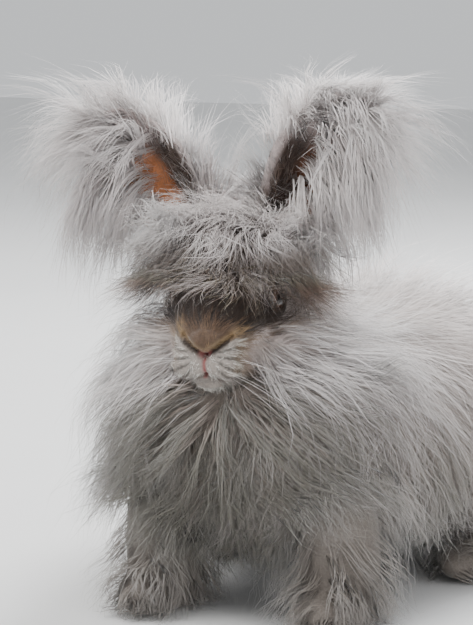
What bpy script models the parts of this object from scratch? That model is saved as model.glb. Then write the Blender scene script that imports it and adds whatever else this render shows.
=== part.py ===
"""Angora rabbit, life size, crouched with its head turned a little to its left.

Metres, +Z up, the floor at z = 0. The rabbit faces -Y and its left side is +X.
Every shape is first placed from a point on the floor under the shoulders, and
the whole is then moved so that its box stands centred on the origin.

Each part is a core of flesh and dense underwool with flat tapered locks rooted
in it. Parts meet face to face across a thin gap: where locks of the head, the
neck or the tail lie over a neighbour, the neighbour is cut clear of them, and
an ellipsoid bounds each leg where it joins the torso.
"""

import math
import random

import bmesh
import bpy
from mathutils import Matrix, Vector
from mathutils.bvhtree import BVHTree

UP = Vector((0.0, 0.0, 1.0))
GAP = 0.0004
SIDES = (("left", 1), ("right", -1))
GOLDEN_ANGLE = math.pi * (3 - math.sqrt(5))
# well outside the rabbit in every direction
FAR = 0.4
# a root this near to a core is on it
ON_CORE = 0.0001
# points nearer than this would be taken for one, and thinner faces are dropped
TOUCHING = 0.000002
SLIVER = 0.000002
MOST_DRAWS = 40
DRAW = random.Random(12)

# Head: the nose tip, the way it faces, and the flesh from nose to nape
HEAD_YAW = math.radians(12.5)
NOSE = Vector((0.006, -0.140, 0.143))
# behind the nose, half width, top and bottom above the nose
HEAD_STATIONS = (
    (0.001, 0.0070, 0.0050, -0.0060),
    (0.004, 0.0120, 0.0085, -0.0125),
    (0.012, 0.0165, 0.0155, -0.0180),
    (0.025, 0.0195, 0.0250, -0.0210),
    (0.040, 0.0235, 0.0350, -0.0240),
    (0.055, 0.0280, 0.0420, -0.0240),
    (0.070, 0.0305, 0.0460, -0.0200),
    (0.085, 0.0290, 0.0430, -0.0140),
    (0.097, 0.0190, 0.0330, -0.0040),
)
HEAD_SIDES = 18
HEAD_MIDDLE = (0.0, 0.066, 0.012)

# Face: places are to the side, behind the nose tip and above it, each with its half size
NOSE_PAD = ((0.0, 0.0060, 0.0040), (0.0085, 0.0070, 0.0060))
LIP_PAD = ((0.0062, 0.0075, -0.0075), (0.0078, 0.0080, 0.0070))
CHIN = ((0.0, 0.0140, -0.0185), (0.0085, 0.0090, 0.0060))
# Grooves of the face as marks to the side and above, pressed in from the front
NOSTRIL = ((0.0004, -0.0028), (0.0040, 0.0000), (0.0075, 0.0030), (0.0110, 0.0060))
PHILTRUM = ((0.0, -0.0020), (0.0, -0.0065), (0.0, -0.0115))
MOUTH = ((-0.0110, -0.0175), (-0.0055, -0.0135), (0.0, -0.0115), (0.0055, -0.0135), (0.0110, -0.0175))
NOSTRIL_HALF = 0.0014
GROOVE_HALF = 0.0009
EYE_RADIUS = 0.0085
EYE_CLEAR = 0.0010
EYE_PLACE = (0.0205, 0.0490, 0.0190)
EYE_FACING = (0.93, -0.34, 0.12)
LID_RADIUS = 0.0072
LID_THICK = 0.0018

# Underwool of the head and the roots of the ears, reaching under half way to the tips
CROWN = ((0.0, 0.068, 0.0420), (0.0370, 0.0340, 0.0180))
CHEEK = ((0.0240, 0.064, -0.0100), (0.0210, 0.0280, 0.0220))
NAPE = ((0.0, 0.086, -0.0060), (0.0370, 0.0420, 0.0440))
THROAT = ((0.0, 0.070, -0.0360), (0.0280, 0.0320, 0.0280))
EAR_ROOT = ((0.0250, 0.0760, 0.0470), (0.0150, 0.0130, 0.0150))

# Torso flesh: along Y, half width, top, bottom
TORSO_STATIONS = (
    (-0.074, 0.024, 0.094, 0.056),
    (-0.066, 0.044, 0.110, 0.044),
    (-0.045, 0.056, 0.120, 0.036),
    (-0.015, 0.062, 0.122, 0.032),
    (0.030, 0.066, 0.122, 0.030),
    (0.080, 0.074, 0.127, 0.030),
    (0.125, 0.073, 0.124, 0.032),
    (0.160, 0.056, 0.106, 0.042),
    (0.180, 0.026, 0.086, 0.060),
)
TORSO_SIDES = 24
# Rows of locks round the torso: where each aims along Y, how far it leans back, and its number
TORSO_AXIS = 0.072
TORSO_ROWS = (
    (-0.032, -10, 5),
    (0.000, -4, 6),
    (0.034, 0, 6),
    (0.068, 0, 6),
    (0.102, 4, 6),
    (0.130, 22, 7),
    (0.145, 56, 5),
)
# Depth of the coat out to its tips: on the back, at the sides, under the belly, at both ends
COAT_TOP = 0.042
COAT_SIDE = 0.044
COAT_UNDER = 0.012
COAT_ENDS = 0.028
CORE_SHARE = 0.48

# Cores of the neck and tail and bounds of the legs: centre, half size, yaw
NECK_CORE = (Vector((-0.004, -0.056, 0.096)), Vector((0.070, 0.062, 0.052)), 0.0)
TAIL_CORE = (Vector((0.0, 0.184, 0.086)), Vector((0.018, 0.027, 0.024)), 0.0)
FRONT_BOUND = (Vector((0.050, -0.076, 0.006)), Vector((0.038, 0.042, 0.060)), 0.0)
HIND_BOUND = (Vector((0.076, 0.094, 0.026)), Vector((0.048, 0.086, 0.058)), 0.0)

# Flesh of the legs on the left side: forearm or thigh, then paw or foot
FRONT_CORES = (
    (Vector((0.048, -0.072, 0.034)), Vector((0.022, 0.024, 0.050)), 0.0),
    (Vector((0.049, -0.084, 0.008)), Vector((0.018, 0.028, 0.015)), 0.0),
)
HIND_CORES = (
    (Vector((0.068, 0.098, 0.044)), Vector((0.031, 0.060, 0.046)), 0.0),
    (Vector((0.072, 0.070, 0.008)), Vector((0.020, 0.056, 0.016)), 0.0),
)

# Ears, in the head's directions: points of the midline, from the skull to the tip
EAR_MIDLINE = {
    "right": (
        (-0.014, 0.076, 0.030),
        (-0.029, 0.075, 0.056),
        (-0.045, 0.074, 0.080),
        (-0.061, 0.074, 0.093),
        (-0.074, 0.076, 0.094),
    ),
    "left": (
        (0.014, 0.076, 0.030),
        (0.026, 0.075, 0.056),
        (0.036, 0.074, 0.083),
        (0.050, 0.074, 0.102),
        (0.064, 0.075, 0.107),
    ),
}
EAR_HALF_WIDTHS = (0.010, 0.018, 0.020, 0.017, 0.007)
EAR_STEPS = 6
EAR_CUP = 0.55
EAR_THICK = 0.0026
EAR_ROOT_THICK = 0.0060
EAR_COLUMNS = (-1.0, -0.5, 0.0, 0.5, 1.0)

# Locks: how deep they are rooted, and their length, width, thickness and number of steps
LOCK_SINK = 0.010
LOCK_SWAY = 0.25
ROOT_WIDTH = 0.7
TAPER = 2.2
TIP_THIN = 0.7
# How far the tips dip again, the slack before a lock is drawn in, and the margin it keeps to a bound
TIP_DIP = 0.2
RISE_SLACK = 1.2
BOUND_MARGIN = 0.004
# Locks with more drop than this, or over a surface facing down this much, aren't drawn in
HANGS_FREE = 0.3
UNDERSIDE = -0.2
TORSO_LOCK = (0.080, 0.068, 0.0085, 3)
HEAD_LOCK = (0.050, 0.034, 0.0060, 3)
NECK_LOCK = (0.064, 0.050, 0.0070, 3)
LEG_LOCK = (0.048, 0.034, 0.0060, 3)
TAIL_LOCK = (0.032, 0.018, 0.0055, 3)
EAR_LOCK = (0.078, 0.029, 0.0055, 4)
TORSO_RISE = 0.022
NECK_RISE = 0.015
LEG_RISE = 0.012
TAIL_RISE = 0.010
EAR_DROP = 0.80
EAR_STEEPEST = 0.30
# Tiers of the head's wool: height, first and last angle off the front, number on each side
HEAD_TIERS = (
    (0.197, 14, 60, 2),
    (0.183, 8, 110, 4),
    (0.172, 120, 180, 2),
    (0.158, 74, 180, 3),
    (0.140, 46, 125, 3),
    (0.126, 34, 110, 2),
)
NECK_TIERS = (
    (0.118, 0, 60, 2),
    (0.096, 0, 100, 2),
    (0.074, 0, 110, 3),
)
LEG_ROOTS = 13
HIND_LEAN = 0.4
LEG_WOOL = (0.020, 0.072)
LOWEST_ROOT = 0.036
TAIL_ROOTS = 10
EAR_ROOTS = 8
# The stretch of an ear that its long locks grow from, as shares of its length
EAR_WOOL_FROM = 0.50
EAR_WOOL_LENGTH = 0.47
# What would hang below the first height is squeezed in above the second
FLOOR_SQUEEZE = 0.022
FLOOR_CLEAR = 0.0020
FLOOR_DEEPEST = -0.050

# Edges sharper than this stay sharp in the shading
CREASE = math.radians(40)

MATERIALS = {
    "wool": ((0.62, 0.58, 0.55, 1.0), 0.95),
    "face_fur": ((0.36, 0.28, 0.22, 1.0), 0.9),
    "eye": ((0.05, 0.025, 0.015, 1.0), 0.1),
}


def material(name):
    found = bpy.data.materials.get(name)
    if found:
        return found
    colour, roughness = MATERIALS[name]
    made = bpy.data.materials.new(name)
    made.use_nodes = True
    shader = made.node_tree.nodes["Principled BSDF"]
    shader.inputs["Base Color"].default_value = colour
    shader.inputs["Roughness"].default_value = roughness
    shader.inputs["Metallic"].default_value = 0.0
    return made


def add_mesh(name, points, faces, look="wool"):
    """A triangulated mesh object with its faces pointing out."""
    mesh = bpy.data.meshes.new(name)
    mesh.from_pydata([tuple(p) for p in points], [], faces)
    bm = bmesh.new()
    bm.from_mesh(mesh)
    bmesh.ops.recalc_face_normals(bm, faces=bm.faces)
    bmesh.ops.triangulate(bm, faces=bm.faces)
    bm.to_mesh(mesh)
    bm.free()
    mesh.materials.append(material(look))
    made = bpy.data.objects.new(name, mesh)
    bpy.context.scene.collection.objects.link(made)
    return made


def turned(way):
    """A direction given in the head's own directions: to its left, backwards, up."""
    return Matrix.Rotation(HEAD_YAW, 3, "Z") @ Vector(way)


def in_head(side, behind, above):
    """A point given from the nose tip, in the head's own directions."""
    return NOSE + turned((side, behind, above))


def from_head(point):
    """The other way round: how far a point lies to the side, behind and above the nose tip."""
    return Matrix.Rotation(-HEAD_YAW, 3, "Z") @ (point - NOSE)


def mirrored(bound, side):
    centre, half, yaw = bound
    return Vector((centre.x * side, centre.y, centre.z)), half, yaw * side


def ellipsoid(name, bound, grow=0.0, look="wool", detail=2):
    """A rounded body of 20, 80 or 320 faces, for detail 1, 2 or 3."""
    centre, half, yaw = bound
    bm = bmesh.new()
    bmesh.ops.create_icosphere(bm, subdivisions=detail, radius=1.0)
    turn = Matrix.Rotation(yaw, 3, "Z")
    points = [centre + turn @ Vector(v.co[i] * (half[i] + grow) for i in range(3)) for v in bm.verts]
    faces = [[v.index for v in f.verts] for f in bm.faces]
    bm.free()
    return add_mesh(name, points, faces, look)


def head_form(form, side=1, grow=0.0):
    """One rounded form of the head, on its own side."""
    place, half = form
    at = in_head(place[0] * side, place[1], place[2])
    return ellipsoid("form", (at, Vector(half), HEAD_YAW), grow)


def loft(name, rings, look="wool"):
    """A closed body through rings of points, with a fan at each end."""
    sides = len(rings[0])
    points = [p for ring in rings for p in ring]
    faces = []
    for i in range(len(rings) - 1):
        for j in range(sides):
            k = (j + 1) % sides
            faces.append((i * sides + j, i * sides + k, (i + 1) * sides + k, (i + 1) * sides + j))
    for i, ring in ((0, rings[0]), (len(rings) - 1, rings[-1])):
        points.append(sum((Vector(p) for p in ring), Vector()) / sides)
        faces += [(i * sides + j, i * sides + (j + 1) % sides, len(points) - 1) for j in range(sides)]
    return add_mesh(name, points, faces, look)


def oval(half_width, top, bottom, sides, power=1.0):
    """Points (side, height) of one cross-section."""
    middle, half = (top + bottom) / 2, (top - bottom) / 2
    ring = []
    for j in range(sides):
        a = 2 * math.pi * j / sides
        c, s = math.cos(a), math.sin(a)
        x = half_width * math.copysign(abs(c) ** power, c)
        ring.append((x, middle + half * math.copysign(abs(s) ** power, s)))
    return ring


def space_under(height):
    """All the space below a height."""
    low, high = (-FAR, -FAR, -FAR / 2), (FAR, FAR, height)
    points = [(x, y, z) for x in (low[0], high[0]) for y in (low[1], high[1]) for z in (low[2], high[2])]
    faces = [(0, 1, 3, 2), (4, 6, 7, 5), (0, 4, 5, 1), (2, 3, 7, 6), (0, 2, 6, 4), (1, 5, 7, 3)]
    return add_mesh("under", points, faces)


def boolean(body, pieces, operation, solver="EXACT"):
    """Applies one Boolean of some pieces on a body, then removes the pieces."""
    group = bpy.data.collections.new("pieces")
    for piece in pieces:
        group.objects.link(piece)
    change = body.modifiers.new("Boolean", "BOOLEAN")
    change.operation = operation
    change.solver = solver
    change.operand_type = "COLLECTION"
    change.collection = group
    bpy.context.view_layer.update()
    graph = bpy.context.evaluated_depsgraph_get()
    made = bpy.data.meshes.new_from_object(body.evaluated_get(graph))
    body.modifiers.remove(change)
    body.data = made
    for piece in pieces:
        bpy.data.objects.remove(piece)
    bpy.data.collections.remove(group)


def unite(body, pieces):
    boolean(body, pieces, "UNION")


def cut(body, *pieces):
    for piece in pieces:
        boolean(body, [piece], "DIFFERENCE")


def longest(face):
    return max(edge.calc_length() for edge in face.edges)


def sound(body):
    """Whether each edge joins two faces only, also once points that touch are made one, with no sliver."""
    bm = bmesh.new()
    bm.from_mesh(body.data)
    bmesh.ops.remove_doubles(bm, verts=bm.verts, dist=TOUCHING)
    whole = all(len(edge.link_faces) == 2 for edge in bm.edges)
    broad = all(2 * face.calc_area() > TOUCHING * longest(face) for face in bm.faces)
    bm.free()
    return whole and broad


def grow_coat(body, plan, clipped=None, cutters=list, neighbours=()):
    """Joins locks to their core and trims them, drawn again until no surface touches another.

    clipped bounds the whole, cutters makes the pieces that keep the gap, and
    neighbours are finished parts whose own shape is cut out last. The locks
    cross each other so often that the exact solver leaves open edges, so the
    manifold solver joins them.
    """
    core = body.data
    for _ in range(MOST_DRAWS):
        body.data = core
        plans = plan()
        boolean(body, locks_of(plans), "UNION", "MANIFOLD")
        if clipped:
            boolean(body, [ellipsoid("bound", clipped)], "INTERSECT", "MANIFOLD")
        pieces = cutters()
        if pieces:
            boolean(body, pieces, "DIFFERENCE", "MANIFOLD")
        if neighbours:
            boolean(body, [neighbour.copy() for neighbour in neighbours], "DIFFERENCE", "MANIFOLD")
        keep_largest(body)
        if sound(body):
            return plans
    raise RuntimeError(body.name + " still touches itself")


def keep_largest(body):
    """Drops every closed surface but the largest."""
    bm = bmesh.new()
    bm.from_mesh(body.data)
    bmesh.ops.triangulate(bm, faces=bm.faces)
    bmesh.ops.dissolve_degenerate(bm, dist=SLIVER, edges=bm.edges)
    bmesh.ops.triangulate(bm, faces=bm.faces)
    left = set(bm.faces)
    groups = []
    while left:
        stack = [left.pop()]
        group = set(stack)
        while stack:
            for edge in stack.pop().edges:
                for face in edge.link_faces:
                    if face in left:
                        left.discard(face)
                        group.add(face)
                        stack.append(face)
        groups.append(group)
    groups.sort(key=volume)
    bmesh.ops.delete(bm, geom=[face for group in groups[:-1] for face in group], context="FACES")
    bm.to_mesh(body.data)
    bm.free()


def volume(faces):
    return sum(f.verts[0].co.dot(f.verts[1].co.cross(f.verts[2].co)) for f in faces) / 6


def tree_of(bodies):
    """The surface of some bodies, to find points on it."""
    bm = bmesh.new()
    for body in bodies:
        bm.from_mesh(body.data)
    tree = BVHTree.FromBMesh(bm)
    bm.free()
    return tree


def reach(point, bound):
    """How far out a point lies in an ellipsoid: below 1 inside, above 1 outside."""
    centre, half, yaw = bound
    local = Matrix.Rotation(-yaw, 3, "Z") @ (point - centre)
    return Vector(local[i] / half[i] for i in range(3)).length


def keep_inside(point, bound, margin):
    most = 1 - margin / min(bound[1])
    return bound[0] + (point - bound[0]) * min(most / max(reach(point, bound), 0.01), 1.0)


def keep_outside(point, bound, margin):
    least = 1 + margin / min(bound[1])
    return bound[0] + (point - bound[0]) * max(least / max(reach(point, bound), 0.01), 1.0)


def above_floor(point):
    if point.z >= FLOOR_SQUEEZE:
        return point
    share = (FLOOR_SQUEEZE - FLOOR_CLEAR) / (FLOOR_SQUEEZE - FLOOR_DEEPEST)
    return Vector((point.x, point.y, FLOOR_SQUEEZE - (FLOOR_SQUEEZE - point.z) * share))


def blend(value, low, high):
    """0 below low, 1 above high, smooth between."""
    t = min(max((value - low) / (high - low), 0.0), 1.0)
    return t * t * (3 - 2 * t)


def nearest(tree, point):
    """The closest point of a core and the way out of it there."""
    found, facing = tree.find_nearest(point)[:2]
    away = point - found
    if away.length > 0.002 and away.dot(facing) > 0:
        facing = away
    return found, facing.normalized()


def root_at(ground, own, start, way):
    """Where a ray first meets the cores, if that is on the part's own core."""
    point = ground.ray_cast(start, way)[0]
    if point and own.find_nearest(point)[3] < ON_CORE:
        return [point]
    return []


def torso_roots(ground, own):
    """Staggered rows of places on the torso, from shoulder to rump and from flank to flank."""
    places = []
    for row, (y, lean, count) in enumerate(TORSO_ROWS):
        tilt = math.radians(lean)
        for i in range(count):
            share = (i + 0.25 + 0.5 * (row % 2)) / count
            angle = math.radians(-38 + 256 * share + DRAW.uniform(-3, 3))
            way = Vector((math.cos(angle) * math.cos(tilt), math.sin(tilt), math.sin(angle) * math.cos(tilt)))
            target = Vector((0.0, y + DRAW.uniform(-0.003, 0.003), TORSO_AXIS))
            places += root_at(ground, own, target + way * FAR, -way)
    return places


def spread_roots(ground, own, middle, count):
    """Evenly spread places on a part, where rays towards its middle first meet it."""
    places = []
    for i in range(count):
        height = 1 - 2 * (i + 0.5) / count
        flat = math.sqrt(1 - height * height)
        way = Vector((flat * math.cos(i * GOLDEN_ANGLE), flat * math.sin(i * GOLDEN_ANGLE), height))
        places += root_at(ground, own, middle + way * FAR, -way)
    return places


def tier_roots(ground, own, middle, tiers, yaw):
    """Places in level tiers round a point, mirrored about the way it faces."""
    places = []
    for height, first, last, count in tiers:
        for i in range(count):
            for _, side in SIDES:
                share = (i + 0.5) / count
                angle = yaw + side * math.radians(first + (last - first) * share + DRAW.uniform(-4, 4))
                way = Vector((math.sin(angle), -math.cos(angle), 0.0))
                places += root_at(ground, own, Vector((middle.x, middle.y, height)) + way * FAR, -way)
    return places


def lay(ground, root, lie, length, steps, rise, drop=0.0, inside=None, outside=()):
    """The middle line of a lock on the cores, and the way out of them at each of its points.

    The lock starts below its root and rises off the cores towards its tip. lie
    gives its direction at a point, and drop how much its own weight bends it.
    """
    out = nearest(ground, root)[1]
    line, outs = [root - out * LOCK_SINK], [out]
    sway = DRAW.uniform(-LOCK_SWAY, LOCK_SWAY)
    point = root
    for step in range(1, steps + 1):
        share = step / steps
        flow = lie(point)
        flow = (flow - out * flow.dot(out)).normalized()
        heading = (flow + flow.cross(out) * sway * share - UP * drop * share).normalized()
        point = point + heading * length / steps
        under, out = nearest(ground, point)
        wanted = rise * (1 - (1 - share) ** 2) * (1 - TIP_DIP * share**4)
        off = (point - under).dot(out)
        if off < wanted:
            point = under + out * wanted
        elif off > wanted * RISE_SLACK and drop < HANGS_FREE and out.z > UNDERSIDE:
            point = under + out * wanted * RISE_SLACK
        if inside:
            point = keep_inside(point, inside, BOUND_MARGIN)
        for bound in outside:
            point = keep_outside(point, bound, BOUND_MARGIN)
        point = above_floor(point)
        line.append(point)
        outs.append(out)
    return line, outs


def lock_points(line, outs, width, thick, grow):
    """Three-sided sections along a line, ridged on the side that faces out, and the tip."""
    last = len(line) - 1
    points = []
    for i in range(last):
        share = i / last
        wide = width * min(ROOT_WIDTH + share, 1.0) * (1 - share**TAPER) / 2 + 2 * grow
        deep = thick * (1 - TIP_THIN * share) / 2 + grow
        ahead = (line[i + 1] - line[max(i - 1, 0)]).normalized()
        across = ahead.cross(outs[i]).normalized()
        over = across.cross(ahead).normalized()
        below = line[i] - over * deep
        points += [below + across * wide, line[i] + over * deep, below - across * wide]
    points.append(line[-1] + (line[-1] - line[-2]).normalized() * grow * 2)
    return [above_edge(point) for point in points]


def lock(line, outs, width, thick, grow=0.0):
    """A flat tapered lock; its quads are split alike on the lock and on its grown copies."""
    plain = lock_points(line, outs, width, thick, 0.0)
    tip = len(plain) - 1
    faces = [(2, 1, 0)]
    for first in range(0, tip - 3, 3):
        for j in range(3):
            a, b = first + j, first + (j + 1) % 3
            if (plain[a] - plain[b + 3]).length < (plain[b] - plain[a + 3]).length:
                faces += [(a, b, b + 3), (a, b + 3, a + 3)]
            else:
                faces += [(a, b, a + 3), (b, b + 3, a + 3)]
    faces += [(tip - 3 + j, tip - 3 + (j + 1) % 3, tip) for j in range(3)]
    return add_mesh("lock", lock_points(line, outs, width, thick, grow), faces)


def above_edge(point):
    """Lifts the edge of a lock that would touch the floor."""
    return Vector((point.x, point.y, max(point.z, FLOOR_CLEAR / 2)))


def vary(value, share=0.12):
    return value * (1 + DRAW.uniform(-share, share))


def plan_coat(ground, places, lie, size, rise, drop=0.0, inside=None, outside=()):
    """Line, ways out, width and thickness of a lock at each place."""
    plans = []
    for place in places:
        length, width, thick, steps = size(place) if callable(size) else size
        line, outs = lay(ground, place, lie, vary(length), steps, vary(rise(place)), drop, inside, outside)
        plans.append((line, outs, vary(width), thick))
    return plans


def locks_of(plans, grow=0.0):
    return [lock(*plan, grow) for plan in plans]


def head_flesh(grow=0.0):
    rings = []
    for behind, half_width, top, bottom in HEAD_STATIONS:
        section = oval(half_width + grow, top + grow, bottom - grow, HEAD_SIDES)
        rings.append([in_head(x, behind, z) for x, z in section])
    return loft("head", rings, "face_fur")


def head_space():
    """The space of the head's underwool with the gap round it."""
    forms = [(form, 1) for form in (CROWN, NAPE, THROAT)] + [(CHEEK, side) for _, side in SIDES]
    return [head_flesh(GAP)] + [head_form(form, side, GAP) for form, side in forms]


def ring_round(centre, axis, radius, half_thick, sides=10, section=5):
    """A closed ring of round section, facing along its axis."""
    axis = axis.normalized()
    first = axis.orthogonal().normalized()
    second = axis.cross(first)
    points, faces = [], []
    for i in range(sides):
        a = 2 * math.pi * i / sides
        way = first * math.cos(a) + second * math.sin(a)
        for j in range(section):
            b = 2 * math.pi * j / section
            points.append(centre + way * (radius + half_thick * math.cos(b)) + axis * half_thick * math.sin(b))
            k, m = (i + 1) % sides, (j + 1) % section
            faces.append((i * section + j, i * section + m, k * section + m, k * section + j))
    return add_mesh("ring", points, faces, "face_fur")


def groove(tree, marks, half, side=1):
    """A slender cutter pressed into the front of the muzzle along some marks."""
    back = turned((0.0, 1.0, 0.0))
    line = []
    for x, above in marks:
        start = in_head(x * side, -0.05, above)
        line.append(tree.ray_cast(start, back)[0] + back * half * 0.2)
    rings = []
    for i, point in enumerate(line):
        ahead = (line[min(i + 1, len(line) - 1)] - line[max(i - 1, 0)]).normalized()
        across = ahead.cross(back).normalized() * half
        over = across.cross(ahead).normalized() * half * 1.6
        rings.append([point + across, point + over, point - across, point - over])
    return loft("groove", rings)


def eye_at(side):
    return in_head(EYE_PLACE[0] * side, EYE_PLACE[1], EYE_PLACE[2]), Vector((EYE_RADIUS,) * 3), 0.0


def head_core():
    """Skull and muzzle with lids, nostrils and mouth, the crown, cheeks and nape, and the ears' roots."""
    head = head_flesh()
    forms = [head_form(form) for form in (NOSE_PAD, CHIN, CROWN, NAPE, THROAT)]
    for _, side in SIDES:
        forms += [head_form(form, side) for form in (LIP_PAD, CHEEK, EAR_ROOT)]
        way = turned((EYE_FACING[0] * side, EYE_FACING[1], EYE_FACING[2])).normalized()
        off = math.sqrt(EYE_RADIUS**2 - LID_RADIUS**2)
        forms.append(ring_round(eye_at(side)[0] + way * off, way, LID_RADIUS + LID_THICK * 0.4, LID_THICK))
    unite(head, forms)
    tree = tree_of([head])
    for _, side in SIDES:
        cut(head, groove(tree, NOSTRIL, NOSTRIL_HALF, side))
    cut(head, groove(tree, PHILTRUM, GROOVE_HALF), groove(tree, MOUTH, GROOVE_HALF))
    return head


def head_lie(point):
    """Out from the crown and over the brow, out and down over the cheeks, and back from the nape."""
    side, behind, above = from_head(point)
    away = Vector((side, behind - HEAD_MIDDLE[1], 0.0))
    away = away / max(away.length, 0.005)
    falls = blend(0.064 - above, 0.0, 0.040)
    crown = away * (1 - 0.55 * falls) - UP * (0.15 + 0.85 * falls)
    cheek = Vector((min(max(side / 0.02, -1.0), 1.0) * 1.1, 0.25, -0.9))
    nape = Vector((side * 12, 1.0, -0.35))
    lie = crown.lerp(cheek, blend(0.020 - above, 0.0, 0.012))
    return turned(lie.lerp(nape, blend(behind, 0.075, 0.105)))


def head_rise(point):
    side, behind, above = from_head(point)
    if above > 0.030:
        return 0.009 + 0.008 * blend(abs(side), 0.01, 0.035)
    return 0.020


def head_lock(point):
    length, width, thick, steps = HEAD_LOCK
    _, behind, above = from_head(point)
    longer = 1 + 0.35 * blend(0.020 - above, 0.0, 0.020) + 0.4 * blend(behind, 0.090, 0.110)
    return length * longer, width, thick, steps


def neck_lie(point):
    """Down the chest, out over the shoulders and back over the withers."""
    back = blend(point.y, -0.060, -0.015)
    chest = Vector((point.x * 4, -0.15, -1.0))
    return chest.lerp(Vector((point.x * 10, 1.0, -0.4)), back)


def torso_rings(share):
    """Cross-sections of the torso, from the flesh at share 0 out to the coat's tips at share 1."""
    rings = []
    last = len(TORSO_STATIONS) - 1
    for i, (y, half_width, top, bottom) in enumerate(TORSO_STATIONS):
        along = 2 * i / last - 1
        full = math.sqrt(1 - 0.9 * along**8)
        y += share * COAT_ENDS * along**3
        wide = half_width + share * COAT_SIDE * full
        section = oval(wide, top + share * COAT_TOP * full, bottom - share * COAT_UNDER * full, TORSO_SIDES, 0.9)
        rings.append([(x, y, z) for x, z in section])
    return rings


def torso_lie(point):
    """Back along the spine, back and down the flanks and the rump, and down the chest."""
    side = min(max(point.x / 0.03, -1.0), 1.0)
    spine = Vector((0.30 * side, 1.0, -0.05))
    flank = Vector((0.20 * side, 0.50, -0.90))
    rump = Vector((0.15 * side, 0.60, -0.90))
    chest = Vector((0.35 * side, -0.10, -1.0))
    lie = spine.lerp(flank, blend(abs(point.x), 0.010, 0.060))
    lie = lie.lerp(chest, blend(-point.y, 0.060, 0.090))
    return lie.lerp(rump, blend(point.y, 0.140, 0.190))


def torso_rise(point):
    return TORSO_RISE * (0.4 + 0.6 * blend(point.z, 0.030, 0.080))


def leg_core(name, cores):
    leg = ellipsoid(name, cores[0])
    unite(leg, [ellipsoid("foot", cores[1])])
    cut(leg, space_under(0.0))
    return leg


def leg_lie(middle, drop_back):
    def lie(point):
        way = point - middle
        return Vector((way.x * 6, way.y * 6 + drop_back, -1.0))

    return lie


def tail_lie(point):
    return Vector((point.x * 8, 0.6, -0.8))


def ear_frame(label, share):
    """Point of an ear's midline, its half width, and the ways along and across it."""
    line = [Vector(p) for p in EAR_MIDLINE[label]]
    at = share * (len(line) - 1)
    k = min(int(at), len(line) - 2)
    t = at - k
    before, a, b, after = line[max(k - 1, 0)], line[k], line[k + 1], line[min(k + 2, len(line) - 1)]
    bend = (2 * before - 5 * a + 4 * b - after) * t * t + (3 * a - before - 3 * b + after) * t**3
    point = 0.5 * (2 * a + (b - before) * t + bend)
    half = EAR_HALF_WIDTHS[k] * (1 - t) + EAR_HALF_WIDTHS[k + 1] * t
    along = (b - a).normalized().lerp((after - a).normalized(), t / 2).normalized()
    across = along.cross(Vector((0.0, -1.0, 0.0))).normalized()
    return point, half, along, across


def ear_leaf(label):
    """The cupped leaf of an ear, thick at its root."""
    back = Vector((0.0, 1.0, 0.0))
    rings = []
    for i in range(EAR_STEPS + 1):
        point, half, _, across = ear_frame(label, i / EAR_STEPS)
        thick = EAR_THICK if i > 1 else EAR_ROOT_THICK
        inner, outer = [], []
        for u in EAR_COLUMNS:
            deep = EAR_CUP * half * (1 - u * u)
            inner.append(point + across * half * 0.94 * u + back * deep)
            outer.append(point + across * half * u + back * (deep + thick))
        rings.append([in_head(*p) for p in inner + outer[::-1]])
    return loft("ear_" + label, rings)


def ear_plans(label):
    """Long locks from the outer half of an ear that arc out and hang down."""
    plans = []
    back = Vector((0.0, 1.0, 0.0))
    for i in range(EAR_ROOTS):
        share = EAR_WOOL_FROM + EAR_WOOL_LENGTH * (i + 0.5) / EAR_ROOTS
        point, half, along, across = ear_frame(label, share)
        u = 0.8 * math.sin(2.4 * i)
        base = point + across * half * u + back * (EAR_CUP * half * (1 - u * u) + EAR_THICK / 2)
        heading = turned(along * 0.9 + across * u * 0.8 + back * DRAW.uniform(-0.45, 0.55)).normalized()
        heading.z = min(heading.z, EAR_STEEPEST)
        length = vary(EAR_LOCK[0])
        place = in_head(*base)
        out = turned((0.0, 1.0 if i % 2 else -1.0, 0.0)) + turned(along) * 0.3
        line, outs = [place - heading * 0.005], [out.normalized()]
        for k in range(EAR_LOCK[3]):
            place = place + heading * length / EAR_LOCK[3]
            heading = (heading - UP * EAR_DROP).normalized()
            line.append(place)
            outs.append((out + turned(along) * 0.25 * k).normalized())
        plans.append((line, outs, vary(EAR_LOCK[1]), EAR_LOCK[2]))
    return plans


def add_ears(wool):
    def cutters():
        return head_space() + [head_form(EAR_ROOT, side, GAP) for _, side in SIDES] + locks_of(wool, GAP)

    for label, _ in SIDES:
        grow_coat(ear_leaf(label), lambda: ear_plans(label), None, cutters)


def centre_over_origin():
    """Moves all pieces so that their box stands centred on the origin."""
    corners = [v.co for body in bpy.context.scene.objects for v in body.data.vertices]
    low = Vector(min(c[i] for c in corners) for i in range(3))
    high = Vector(max(c[i] for c in corners) for i in range(3))
    shift = Vector((-(low.x + high.x) / 2, -(low.y + high.y) / 2, -low.z))
    for body in bpy.context.scene.objects:
        body.data.transform(Matrix.Translation(shift))


def add_cores(legs):
    """The cores of all parts but the ears, still overlapping where one grows from another."""
    head = head_core()
    neck = ellipsoid("neck", NECK_CORE, detail=3)
    torso = loft("torso", torso_rings(CORE_SHARE))
    tail = ellipsoid("tail", TAIL_CORE)
    limbs = [leg_core(name, cores) for name, cores, _ in legs]
    return head, neck, torso, tail, limbs


def dress_head(head, ground):
    own = tree_of([head])

    def plan():
        roots = tier_roots(ground, own, in_head(*HEAD_MIDDLE), HEAD_TIERS, HEAD_YAW)
        return plan_coat(ground, roots, head_lie, head_lock, head_rise, 0.35)

    return grow_coat(head, plan, None, lambda: [ellipsoid("socket", eye_at(side), EYE_CLEAR) for _, side in SIDES])


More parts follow.
